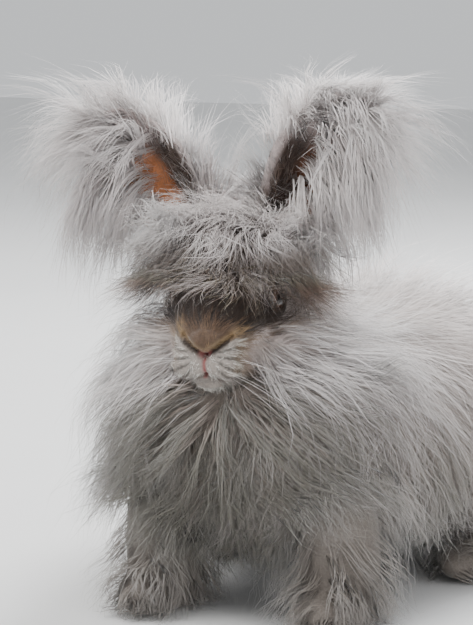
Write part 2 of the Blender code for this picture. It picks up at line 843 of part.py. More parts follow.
def dress_neck(neck, ground, fronts, wool, head):
    own = tree_of([neck])

    def plan():
        roots = tier_roots(ground, own, NECK_CORE[0], NECK_TIERS, HEAD_YAW / 2)
        return plan_coat(ground, roots, neck_lie, NECK_LOCK, lambda point: NECK_RISE, 0.15, None, fronts)

    return grow_coat(neck, plan, None, lambda: head_space() + locks_of(wool, GAP), [head])


def dress_tail(tail, ground):
    own = tree_of([tail])

    def plan():
        roots = spread_roots(ground, own, TAIL_CORE[0], TAIL_ROOTS)
        return plan_coat(ground, roots, tail_lie, TAIL_LOCK, lambda point: TAIL_RISE, 0.2)

    return grow_coat(tail, plan)


def dress_torso(torso, ground, bounds, others, neighbours):
    own = tree_of([torso])

    def plan():
        roots = [root for root in torso_roots(ground, own) if root.z > LOWEST_ROOT]
        return plan_coat(ground, roots, torso_lie, TORSO_LOCK, torso_rise, 0.15, None, bounds)

    def cutters():
        cores = [ellipsoid("cut", bound, GAP) for bound in bounds + [TAIL_CORE]]
        return head_space() + cores + [ellipsoid("cut", NECK_CORE, GAP, detail=3)] + locks_of(others, GAP)

    return grow_coat(torso, plan, None, cutters, neighbours)


def dress_leg(leg, ground, drawn_back, middle, bound, others, neighbours):
    own = tree_of([leg])

    def plan():
        roots = spread_roots(ground, own, middle, LEG_ROOTS)
        roots = [root for root in roots if LEG_WOOL[0] < root.z < LEG_WOOL[1]]
        return plan_coat(ground, roots, leg_lie(middle, drawn_back), LEG_LOCK, lambda point: LEG_RISE, 0.3, bound)

    def cutters():
        return [ellipsoid("cut", NECK_CORE, GAP, detail=3)] + locks_of(others, GAP)

    return grow_coat(leg, plan, bound, cutters, neighbours)


def dress(head, neck, torso, tail, limbs, legs):
    """Roots the coat in the cores, each part cut clear of the locks of the ones before it."""
    ground = tree_of([head, neck, torso, tail] + limbs)
    fronts = [bound for name, _, bound in legs if "front" in name]
    wool = dress_head(head, ground)
    ruff = dress_neck(neck, ground, fronts, wool, head)
    brush = dress_tail(tail, ground)
    dress_torso(torso, ground, [bound for _, _, bound in legs], wool + ruff + brush, [head, neck, tail])
    for leg, (name, cores, bound) in zip(limbs, legs):
        lean = HIND_LEAN if "hind" in name else 0.0
        dress_leg(leg, ground, lean, cores[0][0], bound, wool + ruff, [head, neck])
    return wool


def shade():
    for body in bpy.context.scene.objects:
        body.data.shade_smooth()
        body.data.set_sharp_from_angle(angle=CREASE)


def build():
    for found in list(bpy.data.objects):
        bpy.data.objects.remove(found)
    legs = []
    for label, side in SIDES:
        for kind, cores, bound in (("front", FRONT_CORES, FRONT_BOUND), ("hind", HIND_CORES, HIND_BOUND)):
            name = "leg_" + kind + "_" + label
            legs.append((name, [mirrored(core, side) for core in cores], mirrored(bound, side)))
    add_ears(dress(*add_cores(legs), legs))
    for label, side in SIDES:
        ellipsoid("eye_" + label, eye_at(side), look="eye", detail=3)
    centre_over_origin()
    shade()


build()
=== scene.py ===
"""Angora rabbit, life size, crouched with its head turned a little to its left.

The flesh is one skin, and the wool is fine tapered strands gathered in wavy
locks that lie over it. Lengths are in metres. Places are given from a point on
the floor under the shoulders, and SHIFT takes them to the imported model.
"""

import math

import bpy
import numpy as np
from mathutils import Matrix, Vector
from mathutils.bvhtree import BVHTree
from mathutils.kdtree import KDTree


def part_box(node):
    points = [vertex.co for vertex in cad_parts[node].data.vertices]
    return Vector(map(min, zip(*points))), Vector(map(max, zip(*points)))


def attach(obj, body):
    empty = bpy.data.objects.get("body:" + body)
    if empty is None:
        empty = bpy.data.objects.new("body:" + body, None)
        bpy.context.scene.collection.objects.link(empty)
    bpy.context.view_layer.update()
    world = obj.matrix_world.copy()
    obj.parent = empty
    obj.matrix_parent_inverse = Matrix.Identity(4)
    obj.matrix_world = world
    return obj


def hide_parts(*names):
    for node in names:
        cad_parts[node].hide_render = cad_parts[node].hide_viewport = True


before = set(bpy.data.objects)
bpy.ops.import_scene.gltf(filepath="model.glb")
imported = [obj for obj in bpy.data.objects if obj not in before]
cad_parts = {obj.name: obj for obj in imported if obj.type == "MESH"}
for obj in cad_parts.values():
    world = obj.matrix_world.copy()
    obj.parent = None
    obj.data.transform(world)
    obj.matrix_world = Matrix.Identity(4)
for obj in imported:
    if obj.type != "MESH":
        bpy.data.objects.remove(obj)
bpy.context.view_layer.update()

RNG = np.random.default_rng(5)
UP = np.array((0.0, 0.0, 1.0))
SIDES = (("left", 1), ("right", -1))

# Head: the nose tip, the way it faces, and the flesh from nose to nape
HEAD_YAW = math.radians(12.5)
NOSE = np.array((0.006, -0.14, 0.143))
# behind the nose, half width, top and bottom above the nose
HEAD_STATIONS = (
    (0.001, 0.007, 0.005, -0.006),
    (0.004, 0.012, 0.0085, -0.0125),
    (0.012, 0.0165, 0.0155, -0.018),
    (0.025, 0.0195, 0.025, -0.021),
    (0.04, 0.0235, 0.035, -0.024),
    (0.055, 0.028, 0.042, -0.024),
    (0.07, 0.0305, 0.046, -0.02),
    (0.085, 0.029, 0.043, -0.014),
    (0.097, 0.019, 0.033, -0.004),
)
EYE_RADIUS = 0.0085
EYE_PLACE = np.array((0.0205, 0.049, 0.019))
EYE_FACING = np.array((0.93, -0.34, 0.12))
# how far under the eyeball's surface the skin is sunk
EYE_SUNK = 0.0015
LID_RADIUS = 0.0072
LID_THICK = 0.0018

# Forms of the head: place to the side, behind the nose tip and above it, and half size.
# Here and on the body, forms off the middle are made on both sides.
FACE_FORMS = (
    ((0.0, 0.006, 0.004), (0.0085, 0.007, 0.006)),
    ((0.008, 0.0085, -0.0075), (0.0088, 0.0085, 0.0072)),
    ((0.0, 0.016, -0.0155), (0.008, 0.0085, 0.005)),
)
WOOL_FORMS = (
    ((0.0, 0.068, 0.04), (0.035, 0.032, 0.017)),
    ((0.024, 0.064, -0.01), (0.019, 0.026, 0.02)),
    ((0.0, 0.084, -0.006), (0.034, 0.039, 0.04)),
    ((0.0, 0.07, -0.036), (0.026, 0.03, 0.026)),
    ((0.023, 0.076, 0.045), (0.011, 0.01, 0.013)),
)
NOSTRIL = ((0.0004, -0.0028), (0.004, 0.0), (0.0075, 0.003), (0.011, 0.006))
# dark and pale rays in the fur under the nostrils
STREAKS = 19
PHILTRUM = ((0.0, -0.002), (0.0, -0.0065), (0.0, -0.0115))
MOUTH = ((0.0, -0.0115), (0.0055, -0.0135), (0.011, -0.0175))

# Body flesh along Y: half width, top, bottom
TORSO_STATIONS = (
    (-0.074, 0.024, 0.094, 0.056),
    (-0.066, 0.044, 0.11, 0.044),
    (-0.045, 0.056, 0.12, 0.036),
    (-0.015, 0.062, 0.122, 0.032),
    (0.03, 0.066, 0.122, 0.03),
    (0.08, 0.074, 0.127, 0.03),
    (0.125, 0.073, 0.124, 0.032),
    (0.16, 0.056, 0.106, 0.042),
    (0.18, 0.026, 0.086, 0.06),
)
# strands that pass these bounds, in the solids' frame, are drawn back by this share
CEILING = 0.264
WIDEST = 0.122
LONGEST = 0.184
DRAWN_BACK = 0.65
# steps along a lock, and how closely the eddies in its lie follow one another
LAY_STEPS = 9
SWIRL_SCALE = 95.0
# how deep locks are rooted in the skin
ROOT_DEPTH = 0.0015
# how far the shading of a strand follows the coat round it instead of its own roundness
SOFTNESS = 0.85
# how far the coat reaches past the flesh of the body, and the share of it that the skin takes in
COAT_TOP = 0.042
COAT_SIDE = 0.044
COAT_UNDER = 0.012
COAT_ENDS = 0.028
SKIN_SHARE = 0.36
# centre and half size of neck, tail, forearm and paw, thigh and foot
NECK = ((-0.004, -0.056, 0.096), (0.066, 0.058, 0.048))
TAIL = ((0.0, 0.184, 0.086), (0.016, 0.025, 0.022))
LEG_FORMS = (
    ((0.048, -0.072, 0.034), (0.02, 0.022, 0.048)),
    ((0.049, -0.084, 0.01), (0.0165, 0.026, 0.0125)),
    ((0.068, 0.098, 0.044), (0.029, 0.056, 0.043)),
    ((0.072, 0.07, 0.01), (0.0185, 0.053, 0.013)),
)
# centre and half size of the space that the head's and the hind legs' wool grows in
HEAD_AREA = ((0.0, 0.075, 0.0), (0.056, 0.09, 0.075))
HIND_AREA = ((0.07, 0.09, 0.03), (0.05, 0.098, 0.045))
# rings and sides of the mesh of a ball
BALL_RINGS = 28
BALL_SIDES = 40

# Ears, in the head's directions: points of the midline, from the skull to the tip
EAR_MIDLINE = {
    "right": ((-0.014, 0.076, 0.03), (-0.029, 0.075, 0.056), (-0.045, 0.074, 0.08),
              (-0.061, 0.074, 0.093), (-0.074, 0.076, 0.094)),
    "left": ((0.014, 0.076, 0.03), (0.026, 0.075, 0.056), (0.036, 0.074, 0.083),
             (0.05, 0.074, 0.102), (0.064, 0.075, 0.107)),
}
EAR_HALF_WIDTHS = (0.01, 0.018, 0.02, 0.017, 0.007)
# which rim of each ear is the upper one, towards the other ear
EAR_UPPER = {"right": 1, "left": -1}
# how dark the skin inside each cup is
EAR_SHADED = {"right": 0.1, "left": 0.55}
# how far up across each cup the locks before it are rooted
EAR_HUNG = {"right": -0.1, "left": 0.2}
EAR_CUP = 0.55
EAR_THICK = 0.0018
EAR_ROWS = 44
EAR_COLUMNS = np.linspace(-1, 1, 15)


def head_turn():
    c, s = math.cos(HEAD_YAW), math.sin(HEAD_YAW)
    return np.array(((c, -s, 0.0), (s, c, 0.0), (0.0, 0.0, 1.0)))


def turned(ways):
    """Directions given as to the head's left, backwards and up."""
    return np.asarray(ways, float) @ head_turn().T


def in_head(places):
    return NOSE + turned(places)


def from_head(points):
    """How far points lie to the head's left, behind and above the nose tip."""
    return (points - NOSE) @ head_turn()


def eye_box_middle():
    low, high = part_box("eye_left")
    return (np.array(low) + np.array(high)) / 2


SHIFT = eye_box_middle() - in_head(EYE_PLACE)


def unit(ways):
    return ways / np.maximum(np.linalg.norm(ways, axis=-1, keepdims=True), 1e-9)


def rows_of(*columns):
    """Rows of numbers from columns, some of which may be a single number."""
    return np.stack(np.broadcast_arrays(*columns), -1)


def circle(count):
    return np.linspace(0, 2 * math.pi, count, endpoint=False)


def within(q, centre, half, reach=1.0):
    """Whether points lie in an ellipsoid."""
    return np.linalg.norm((q - centre) / half, axis=1) < reach


def eye_centre(side):
    return in_head(EYE_PLACE * (side, 1, 1))


def eye_way(side):
    """The way an eye faces."""
    return unit(turned(EYE_FACING * (side, 1, 1)))


def near_eye(q):
    """How far points lie from the centre of the nearer eye."""
    return np.minimum(*(np.linalg.norm(q - eye_centre(side), axis=1) for _, side in SIDES))


def both_sides(forms):
    """Forms on the left and, if they lie off the middle, on the right."""
    for place, half in forms:
        for _, side in SIDES if place[0] else SIDES[:1]:
            yield (place[0] * side, place[1], place[2]), half


def blend(value, low, high):
    """0 below low, 1 above high, smooth between."""
    t = np.clip((value - low) / (high - low), 0.0, 1.0)
    return t * t * (3 - 2 * t)


def fade(value, low, high):
    """1 below low, 0 above high, smooth between."""
    return 1 - blend(value, low, high)


def spline(rows, count):
    """Rows of numbers drawn out to more rows on a smooth curve through them."""
    rows = np.asarray(rows, float)
    at = np.linspace(0, len(rows) - 1, count)
    k = np.minimum(at.astype(int), len(rows) - 2)
    t = (at - k)[:, None]
    a, b = rows[k], rows[k + 1]
    before = rows[np.maximum(k - 1, 0)]
    after = rows[np.minimum(k + 2, len(rows) - 1)]
    return 0.5 * (2 * a + (b - before) * t + (2 * before - 5 * a + 4 * b - after) * t**2
                  + (3 * a - before - 3 * b + after) * t**3)


# Meshes


def ball(centre, half, yaw=0.0):
    """Points and faces of an ellipsoid."""
    polar = np.linspace(0, math.pi, BALL_RINGS + 1)[1:-1]
    turn = circle(BALL_SIDES)
    flat = np.sin(polar)[:, None]
    grid = rows_of(flat * np.cos(turn), flat * np.sin(turn), np.cos(polar)[:, None])
    rows = grid * np.asarray(half, float)
    c, s = math.cos(yaw), math.sin(yaw)
    rows = rows @ np.array(((c, s, 0), (-s, c, 0), (0, 0, 1)))
    return closed_rows(rows + np.asarray(centre, float))


def closed_rows(rows):
    """A closed body through rings of points, with a fan at each end."""
    count, sides = rows.shape[:2]
    points = np.concatenate([rows.reshape(-1, 3), rows[0].mean(0)[None], rows[-1].mean(0)[None]])
    j = np.arange(sides)
    k = (j + 1) % sides
    faces = []
    for i in range(count - 1):
        a, b = i * sides, (i + 1) * sides
        faces += [np.stack([a + j, a + k, b + k], 1), np.stack([a + j, b + k, b + j], 1)]
    faces.append(np.stack([k, j, 0 * j + count * sides], 1))
    last = (count - 1) * sides
    faces.append(np.stack([last + j, last + k, 0 * j + count * sides + 1], 1))
    return points, np.concatenate(faces)


def joined(parts):
    """Several bodies as one list of points and one of faces."""
    points, faces, start = [], [], 0
    for p, f in parts:
        points.append(p)
        faces.append(f + start)
        start += len(p)
    return np.concatenate(points), np.concatenate(faces)


def add_mesh(name, points, triangles, smooth=True):
    mesh = bpy.data.meshes.new(name)
    mesh.vertices.add(len(points))
    mesh.vertices.foreach_set("co", np.ascontiguousarray(points, np.float32).ravel())
    mesh.loops.add(3 * len(triangles))
    mesh.loops.foreach_set("vertex_index", np.ascontiguousarray(triangles, np.int32).ravel())
    mesh.polygons.add(len(triangles))
    mesh.polygons.foreach_set("loop_start", np.arange(0, 3 * len(triangles), 3, dtype=np.int32))
    mesh.update(calc_edges=True)
    if smooth:
        mesh.shade_smooth()
    made = bpy.data.objects.new(name, mesh)
    bpy.context.scene.collection.objects.link(made)
    return made


def mesh_arrays(mesh):
    """Points, point normals and triangles of a mesh."""
    mesh.calc_loop_triangles()
    points = np.empty(3 * len(mesh.vertices), np.float32)
    mesh.vertices.foreach_get("co", points)
    normals = np.empty_like(points)
    mesh.vertices.foreach_get("normal", normals)
    triangles = np.empty(3 * len(mesh.loop_triangles), np.int32)
    mesh.loop_triangles.foreach_get("vertices", triangles)
    points, normals, triangles = (array.reshape(-1, 3) for array in (points, normals, triangles))
    return points.astype(float), normals.astype(float), triangles


def fused(parts, voxel, rounds):
    """One skin round overlapping bodies, its joints smoothed."""
    body = add_mesh("fusing", *joined(parts))
    change = body.modifiers.new("Remesh", "REMESH")
    change.mode = "VOXEL"
    change.voxel_size = voxel
    ease = body.modifiers.new("Smooth", "SMOOTH")
    ease.factor = 0.5
    ease.iterations = rounds
    graph = bpy.context.evaluated_depsgraph_get()
    mesh = bpy.data.meshes.new_from_object(body.evaluated_get(graph))
    bpy.data.objects.remove(body)
    points, _, triangles = mesh_arrays(mesh)
    return points, triangles


def head_parts():
    rows = []
    turn = circle(48)
    for behind, wide, top, bottom in spline(HEAD_STATIONS, 40):
        up = (top + bottom) / 2 + (top - bottom) / 2 * np.sin(turn)
        rows.append(in_head(rows_of(wide * np.cos(turn), behind, up)))
    parts = [closed_rows(np.array(rows))]
    parts += [ball(in_head(place), half, HEAD_YAW) for place, half in both_sides(FACE_FORMS + WOOL_FORMS)]
    return parts + [lids(side) for _, side in SIDES]


def lids(side):
    """The rim of the eyelids round an eye."""
    centre, way = eye_centre(side), eye_way(side)
    first = unit(np.cross(way, UP))
    second = np.cross(way, first)
    off = math.sqrt(EYE_RADIUS**2 - LID_RADIUS**2)
    sides, thick_sides = 40, 12
    a = circle(sides)[:, None, None]
    b = circle(thick_sides)[None, :, None]
    out = first * np.cos(a) + second * np.sin(a)
    wide = LID_RADIUS + LID_THICK * 0.5
    grid = centre + way * off + out * (wide + LID_THICK * np.cos(b)) + way * LID_THICK * np.sin(b)
    i, j = np.arange(sides)[:, None], np.arange(thick_sides)[None, :]
    here, there = i * thick_sides, (i + 1) % sides * thick_sides
    after = (j + 1) % thick_sides
    corners = (here + j, here + after, there + after), (here + j, there + after, there + j)
    faces = [np.stack(corner, -1).reshape(-1, 3) for corner in corners]
    return grid.reshape(-1, 3), np.concatenate(faces)


def carve(points, marks, half, depth, side=1):
    """Presses a groove into the front of the muzzle along some marks."""
    local = from_head(points)
    flat = local[:, [0, 2]]
    marks = np.array(marks) * (side, 1)
    near = np.full(len(points), 1.0)
    for a, b in zip(marks[:-1], marks[1:]):
        t = np.clip(((flat - a) @ (b - a)) / ((b - a) @ (b - a)), 0, 1)
        near = np.minimum(near, np.linalg.norm(flat - a - t[:, None] * (b - a), axis=1))
    front = local[:, 1] < 0.022
    return points + turned((0, 1, 0)) * (depth * np.exp(-((near / half) ** 2)) * front)[:, None]


def clear_eyes(points):
    """Sinks the skin under the eyeball inside the lids."""
    sunk = EYE_RADIUS - EYE_SUNK
    for _, side in SIDES:
        centre = eye_centre(side)
        rel = points - centre
        far = np.linalg.norm(rel, axis=1)
        facing = (rel @ eye_way(side)) / np.maximum(far, 1e-6)
        inside = (facing > 0.66) & (far < 0.013) & (far > sunk)
        lower = centre + rel * (sunk / np.maximum(far, 1e-6))[:, None]
        points = np.where(inside[:, None], lower, points)
    return points


def body_parts():
    rows = []
    turn = circle(64)
    c, s = np.cos(turn), np.sin(turn)
    stations = spline(TORSO_STATIONS, 48)
    for i, (y, wide, top, bottom) in enumerate(stations):
        along = 2 * i / (len(stations) - 1) - 1
        full = math.sqrt(1 - 0.9 * along**8)
        y += SKIN_SHARE * COAT_ENDS * along**3
        wide += SKIN_SHARE * COAT_SIDE * full
        top += SKIN_SHARE * COAT_TOP * full
        bottom -= SKIN_SHARE * COAT_UNDER * full
        x = wide * np.sign(c) * abs(c) ** 0.9
        z = (top + bottom) / 2 + (top - bottom) / 2 * np.sign(s) * abs(s) ** 0.9
        rows.append(rows_of(x, y, z))
    parts = [closed_rows(np.array(rows)), ball(*NECK), ball(*TAIL)]
    return parts + [ball(*form) for form in both_sides(LEG_FORMS)]


def ear_frame(label, share):
    """Points of an ear's midline, its half widths, and the ways along and across it."""
    share = np.atleast_1d(share)
    line = np.array(EAR_MIDLINE[label])
    fine = spline(line, 201)
    at = share * 200
    k = np.clip(at.astype(int), 0, 199)
    t = (at - k)[:, None]
    point = fine[k] * (1 - t) + fine[k + 1] * t
    half = np.interp(share * (len(line) - 1), np.arange(len(line)), EAR_HALF_WIDTHS)
    along = unit(fine[np.minimum(k + 6, 200)] - fine[np.maximum(k - 6, 0)])
    across = unit(np.cross(along, (0.0, -1.0, 0.0)))
    return point, half, along, across


def ear_leaf(label):
    """The cupped leaf of an ear, with a slightly rippled cup, in the model's place."""
    share = np.linspace(0, 1, EAR_ROWS)
    point, half, _, across = ear_frame(label, share)
    u = EAR_COLUMNS
    deep = EAR_CUP * half[:, None] * (1 - u * u) + 0.0012 * np.sin(share * 37)[:, None] * (1 - u * u)
    thick = np.where(share < 0.3, 0.004, EAR_THICK)
    back = np.array((0.0, 1.0, 0.0))
    spread = point[:, None] + across[:, None] * (half[:, None] * u)[..., None]
    inner = spread + back * deep[..., None]
    outer = spread + back * (deep + thick[:, None])[..., None]
    rows = np.concatenate([inner, outer[:, ::-1]], 1)
    return closed_rows(in_head(rows))


def make_skin():
    """The head's skin is finer than the body's, and the ears' leaves keep their thin edge."""
    head_points, head_faces = fused(head_parts(), voxel=0.001, rounds=8)
    head_points = carve(head_points, PHILTRUM, half=0.0009, depth=0.0014)
    for _, side in SIDES:
        head_points = carve(head_points, NOSTRIL, half=0.0015, depth=0.0042, side=side)
        head_points = carve(head_points, MOUTH, half=0.001, depth=0.0022, side=side)
    head_points = clear_eyes(head_points)
    body_points, body_faces = fused(body_parts(), voxel=0.0028, rounds=14)
    body_points[:, 2] = np.maximum(body_points[:, 2], 0.0006)
    parts = [(head_points, head_faces), (body_points, body_faces)]
    parts += [ear_leaf(label) for label, _ in SIDES]
    points, faces = joined(parts)
    counts = [len(p) for p, _ in parts]
    kinds = np.repeat(np.arange(4), counts)
    skin = add_mesh("skin", points + SHIFT, faces)
    return skin, kinds


# Colours


def srgb(*values):
    v = np.array(values) / 255
    return np.where(v <= 0.04045, v / 12.92, ((v + 0.055) / 1.055) ** 2.4)


SILVER = srgb(238, 230, 228)
PINK_WHITE = srgb(248, 236, 233)
LILAC = srgb(206, 192, 189)
BROWN_GREY = srgb(132, 114, 104)
DARK_BROWN = srgb(56, 42, 35)
FRINGE_BROWN = srgb(86, 67, 53)
UNDER_CHIN_SHADE = srgb(74, 71, 60)
# painted shade under the chin and throat, with a green cast of painted reflected light
GOLD = srgb(156, 130, 96)
TAN = srgb(138, 112, 84)
BRIDGE = srgb(104, 82, 66)
NOSE_PINK = srgb(142, 80, 78)
LIP_WHITE = srgb(226, 222, 214)
CONCHA = srgb(190, 124, 84)
BEIGE = srgb(198, 176, 164)
# the legs' own beige-grey, darkened as painted shade under the body
LEG_GREY_AND_SHADE = srgb(104, 97, 88)
# the chest wool's grey-brown, darkened and greened as painted shade under the head
CHEST_GREY_AND_SHADE = srgb(100, 96, 85)
WARM_ROOT = srgb(178, 162, 153)


def waves(points, scale, seed):
    """A smooth uneven pattern between -1 and 1."""
    rng = np.random.default_rng(seed)
    total = 0
    for k in range(6):
        way = unit(rng.normal(size=3)) * scale * (0.6 + 0.4 * k)
        total = total + np.sin(points @ way + rng.uniform(0, 6.28)) / (1 + 0.5 * k)
    return total / 2.4


def mix(a, b, share):
    share = np.asarray(share)[..., None]
    return a * (1 - share) + b * share


def tip_colour(points):
    """Colour of the wool's outer half, by where it is rooted."""
    side, behind, above = from_head(points).T
    _, along, height = points.T
    uneven = waves(points, 120.0, 3)
    base = mix(LILAC, SILVER, np.clip(0.55 + 0.35 * uneven, 0, 1))
    on_back = blend(along, -0.02, 0.06) * blend(height, 0.05, 0.13)
    base = mix(base, PINK_WHITE, 0.6 * on_back)
    flank = blend(along, -0.06, 0.0) * fade(along, 0.03, 0.08) * blend(height, 0.06, 0.1)
    base = mix(base, BEIGE * 0.7, 0.65 * flank)
    # painted shade: low down the wool turns to the legs' darker grey
    base = mix(base, LEG_GREY_AND_SHADE, 0.85 * fade(height, 0.03, 0.09))
    # painted shade: the chest under the head is made darker
    chest = fade(along, -0.03, 0.05) * blend(height, 0.03, 0.06) * fade(height, 0.1, 0.13)
    base = mix(base, CHEST_GREY_AND_SHADE, np.clip(0.8 * chest + 0.3 * chest * uneven, 0, 1))
    # painted shade under the chin
    chin = np.exp(-((side / 0.036) ** 2)) * blend(-above, 0.01, 0.022) * fade(-above, 0.05, 0.085)
    return mix(base, UNDER_CHIN_SHADE, 0.92 * (chin * (behind < 0.1)))


def root_colour(points):
    colour = mix(BROWN_GREY, WARM_ROOT, np.clip(0.75 + 0.4 * waves(points, 90.0, 4), 0, 1))
    # painted shade: low roots turn to the legs' darker grey
    return mix(colour, LEG_GREY_AND_SHADE, 0.8 * fade(points[:, 2], 0.03, 0.09))


def above_nostrils(head):
    """How far a point of the muzzle lies above the line of the nostrils."""
    return head[:, 2] + 0.003 - 0.62 * abs(head[:, 0])


def face_colour(points):
    """Short fur of the face.

    It is gold over the nostrils, brown on the bridge, dark brown on the brow with painted shadow of the
    fringe over it, white under the nostrils and tan round them, and in painted shade under the chin.
    """
    head = from_head(points)
    side, behind, above = abs(head[:, 0]), head[:, 1], head[:, 2]
    over = above_nostrils(head)
    uneven = 0.3 * waves(points, 500.0, 21)
    outer = 0.7 * blend(side, 0.008, 0.013)
    colour = mix(BRIDGE, TAN, np.clip(outer + uneven, 0, 1))
    gold = np.exp(-((over - 0.0024) / 0.0016) ** 2) * (side < 0.015)
    colour = mix(colour, GOLD, np.clip(gold + 0.3 * uneven, 0, 1))
    # the brow's dark brown fur, deepened by painted shadow of the fringe
    dark = np.maximum(blend(over, 0.004, 0.009) * blend(behind, 0.003, 0.011),
                      blend(above, 0.002, 0.008) * blend(behind, 0.01, 0.018))
    colour = mix(colour, DARK_BROWN * 0.6, np.clip(dark + 0.3 * uneven, 0, 1))
    under = fade(over, -0.001, 0.001) * fade(side, 0.012, 0.017)
    under = under * fade(behind, 0.014, 0.024)
    turn = np.arctan2(side, -0.002 - above)
    rays = blend(np.sin(STREAKS * turn + 1.2 * waves(points, 260.0, 41)), 0.0, 0.8)
    streaks = rays * blend(side, 0.003, 0.008)
    colour = mix(colour, mix(LIP_WHITE, DARK_BROWN, 0.85 * streaks), np.clip(under, 0, 1))
    ring = blend(-above, 0.011, 0.0135) * fade(-above, 0.0155, 0.018)
    colour = mix(colour, BROWN_GREY * 0.6, 0.8 * ring)
    cheek = blend(side, 0.014, 0.019) * blend(-above, -0.006, 0.004) * blend(behind, 0.008, 0.018)
    colour = mix(colour, LILAC, 0.85 * cheek)
    chin = blend(-above, 0.014, 0.02) * fade(side, 0.012, 0.018)
    colour = mix(colour, LIP_WHITE, 0.5 * chin)
    # painted shade under the chin
    return mix(colour, UNDER_CHIN_SHADE, 0.9 * blend(-above, 0.012, 0.018) * blend(behind, 0.014, 0.022))


def face_roots(points):
    """The face's fur is darkest at its roots where it is palest at its tips."""
    colour = face_colour(points)
    pale = blend(colour.mean(-1), 0.25, 0.6)
    return mix(colour * 0.6, BROWN_GREY * 0.7, 0.6 * pale)


def nose_share(points):
    """How far the bare nose and philtrum show."""
    head = from_head(points)
    side, behind, above = head[:, 0], head[:, 1], head[:, 2]
    vee = np.exp(-((above_nostrils(head) / 0.0016) ** 2)) * (abs(side) < 0.0112)
    cleft = np.exp(-((side / 0.0008) ** 2)) * blend(-above, 0.0, 0.003)
    cleft = cleft * fade(-above, 0.0125, 0.0145)
    return np.clip(np.maximum(vee, cleft), 0, 1) * fade(behind, 0.01, 0.016)


def skin_colour(points, kinds):
    """The skin carries the coat's markings, darker, as seen between its roots."""
    colour = mix(tip_colour(points), root_colour(points), 0.4)
    head = from_head(points)
    face = (kinds == 0) * flesh_depth(points)
    colour = mix(colour, face_roots(points), face)
    # the nostril V turns dark brown off the midline: the nostrils' own dark skin, with painted shade in the
    # slits
    nose = mix(NOSE_PINK, DARK_BROWN * 0.6, blend(abs(head[:, 0]), 0.0012, 0.0042))
    colour = mix(colour, nose, nose_share(points) * (kinds == 0))
    colour = colour * (0.7 + 0.3 * blend(points[:, 2], 0.04, 0.1))[:, None]
    # painted shadow round the eyes, under the fringe
    return mix(colour, DARK_BROWN * 0.5, (kinds == 0) * fade(near_eye(points), 0.0098, 0.0125))


def ear_colour(label):
    """Bare skin at the base of the cup, a dark brown rim, and pale wool outside."""
    share = np.linspace(0, 1, EAR_ROWS)[:, None] + 0 * EAR_COLUMNS[None]
    upper = 0 * share + EAR_COLUMNS[None] * EAR_UPPER[label]
    bare = mix(CONCHA, DARK_BROWN, EAR_SHADED[label])
    inner = mix(bare, DARK_BROWN, blend(upper, 0.0, 0.4))
    inner = mix(inner, LILAC, np.maximum(blend(share, 0.5, 0.75), blend(upper, 0.7, 0.92)))
    outer = mix(BROWN_GREY, SILVER, blend(share, 0.0, 0.5) * 0.7)
    grid = np.concatenate([inner, outer[:, ::-1]], 1).reshape(-1, 3)
    return np.concatenate([grid, inner[:1, 0], outer[-1:, 0]])


def set_colour(mesh, name, colours):
    layer = mesh.attributes.new(name, "FLOAT_COLOR", "POINT")
    full = np.concatenate([np.clip(colours, 0, 1), np.ones((len(colours), 1))], 1)
    layer.data.foreach_set("color", full.astype(np.float32).ravel())


# Materials


def new_material(name):
    made = bpy.data.materials.new(name)
    made.use_nodes = True
    return made, made.node_tree


def set_inputs(node, values):
    for name, value in values.items():
        node.inputs[name].default_value = value


def add_node(tree, kind, values=None, operation=None):
    node = tree.nodes.new(kind)
    if operation:
        node.operation = operation
    set_inputs(node, values or {})
    return node


def wire(tree, *wires):
    """Links outputs of nodes to inputs of others."""
    for source, output, target, into in wires:
        tree.links.new(source.outputs[output], target.inputs[into])


def tinted(name, roughness, sheen, specular, grain, low, high, soft=0.0, bump=0.0, detail=6.0):
    """A surface tinted by its colour layer, broken up by fine noise. Soft lets light into it."""
    made, tree = new_material(name)
    shader = tree.nodes["Principled BSDF"]
    set_inputs(shader, {
        "Roughness": roughness, "Specular IOR Level": specular,
        "Sheen Weight": sheen, "Sheen Roughness": 0.4,
        "Subsurface Weight": soft, "Subsurface Radius": (1.0, 0.96, 0.92), "Subsurface Scale": 0.001,
    })
    tint = add_node(tree, "ShaderNodeAttribute")
    tint.attribute_name = "tint"
    place = add_node(tree, "ShaderNodeTexCoord")
    noise = add_node(tree, "ShaderNodeTexNoise", {"Scale": grain, "Detail": detail})
    reach = {"From Min": 0.3, "From Max": 0.7, "To Min": low, "To Max": high}
    spread = add_node(tree, "ShaderNodeMapRange", reach)
    scale = add_node(tree, "ShaderNodeVectorMath", operation="SCALE")
    wire(tree, (place, "Object", noise, "Vector"), (noise, "Fac", spread, "Value"),
         (tint, "Color", scale, 0), (spread, "Result", scale, "Scale"),
         (scale, "Vector", shader, "Base Color"))
    if bump:
        relief = add_node(tree, "ShaderNodeBump", {"Strength": bump, "Distance": 0.0006})
        wire(tree, (noise, "Fac", relief, "Height"), (relief, "Normal", shader, "Normal"))
    return made


# stops from the back of the eyeball to its front, along the way it faces
IRIS = ((0.0, (0.3, 0.24, 0.2)), (0.66, (0.22, 0.16, 0.12)), (0.74, (0.03, 0.014, 0.008)),
        (0.86, (0.085, 0.036, 0.016)), (0.925, (0.045, 0.018, 0.009)), (0.945, (0.004, 0.003, 0.003)))


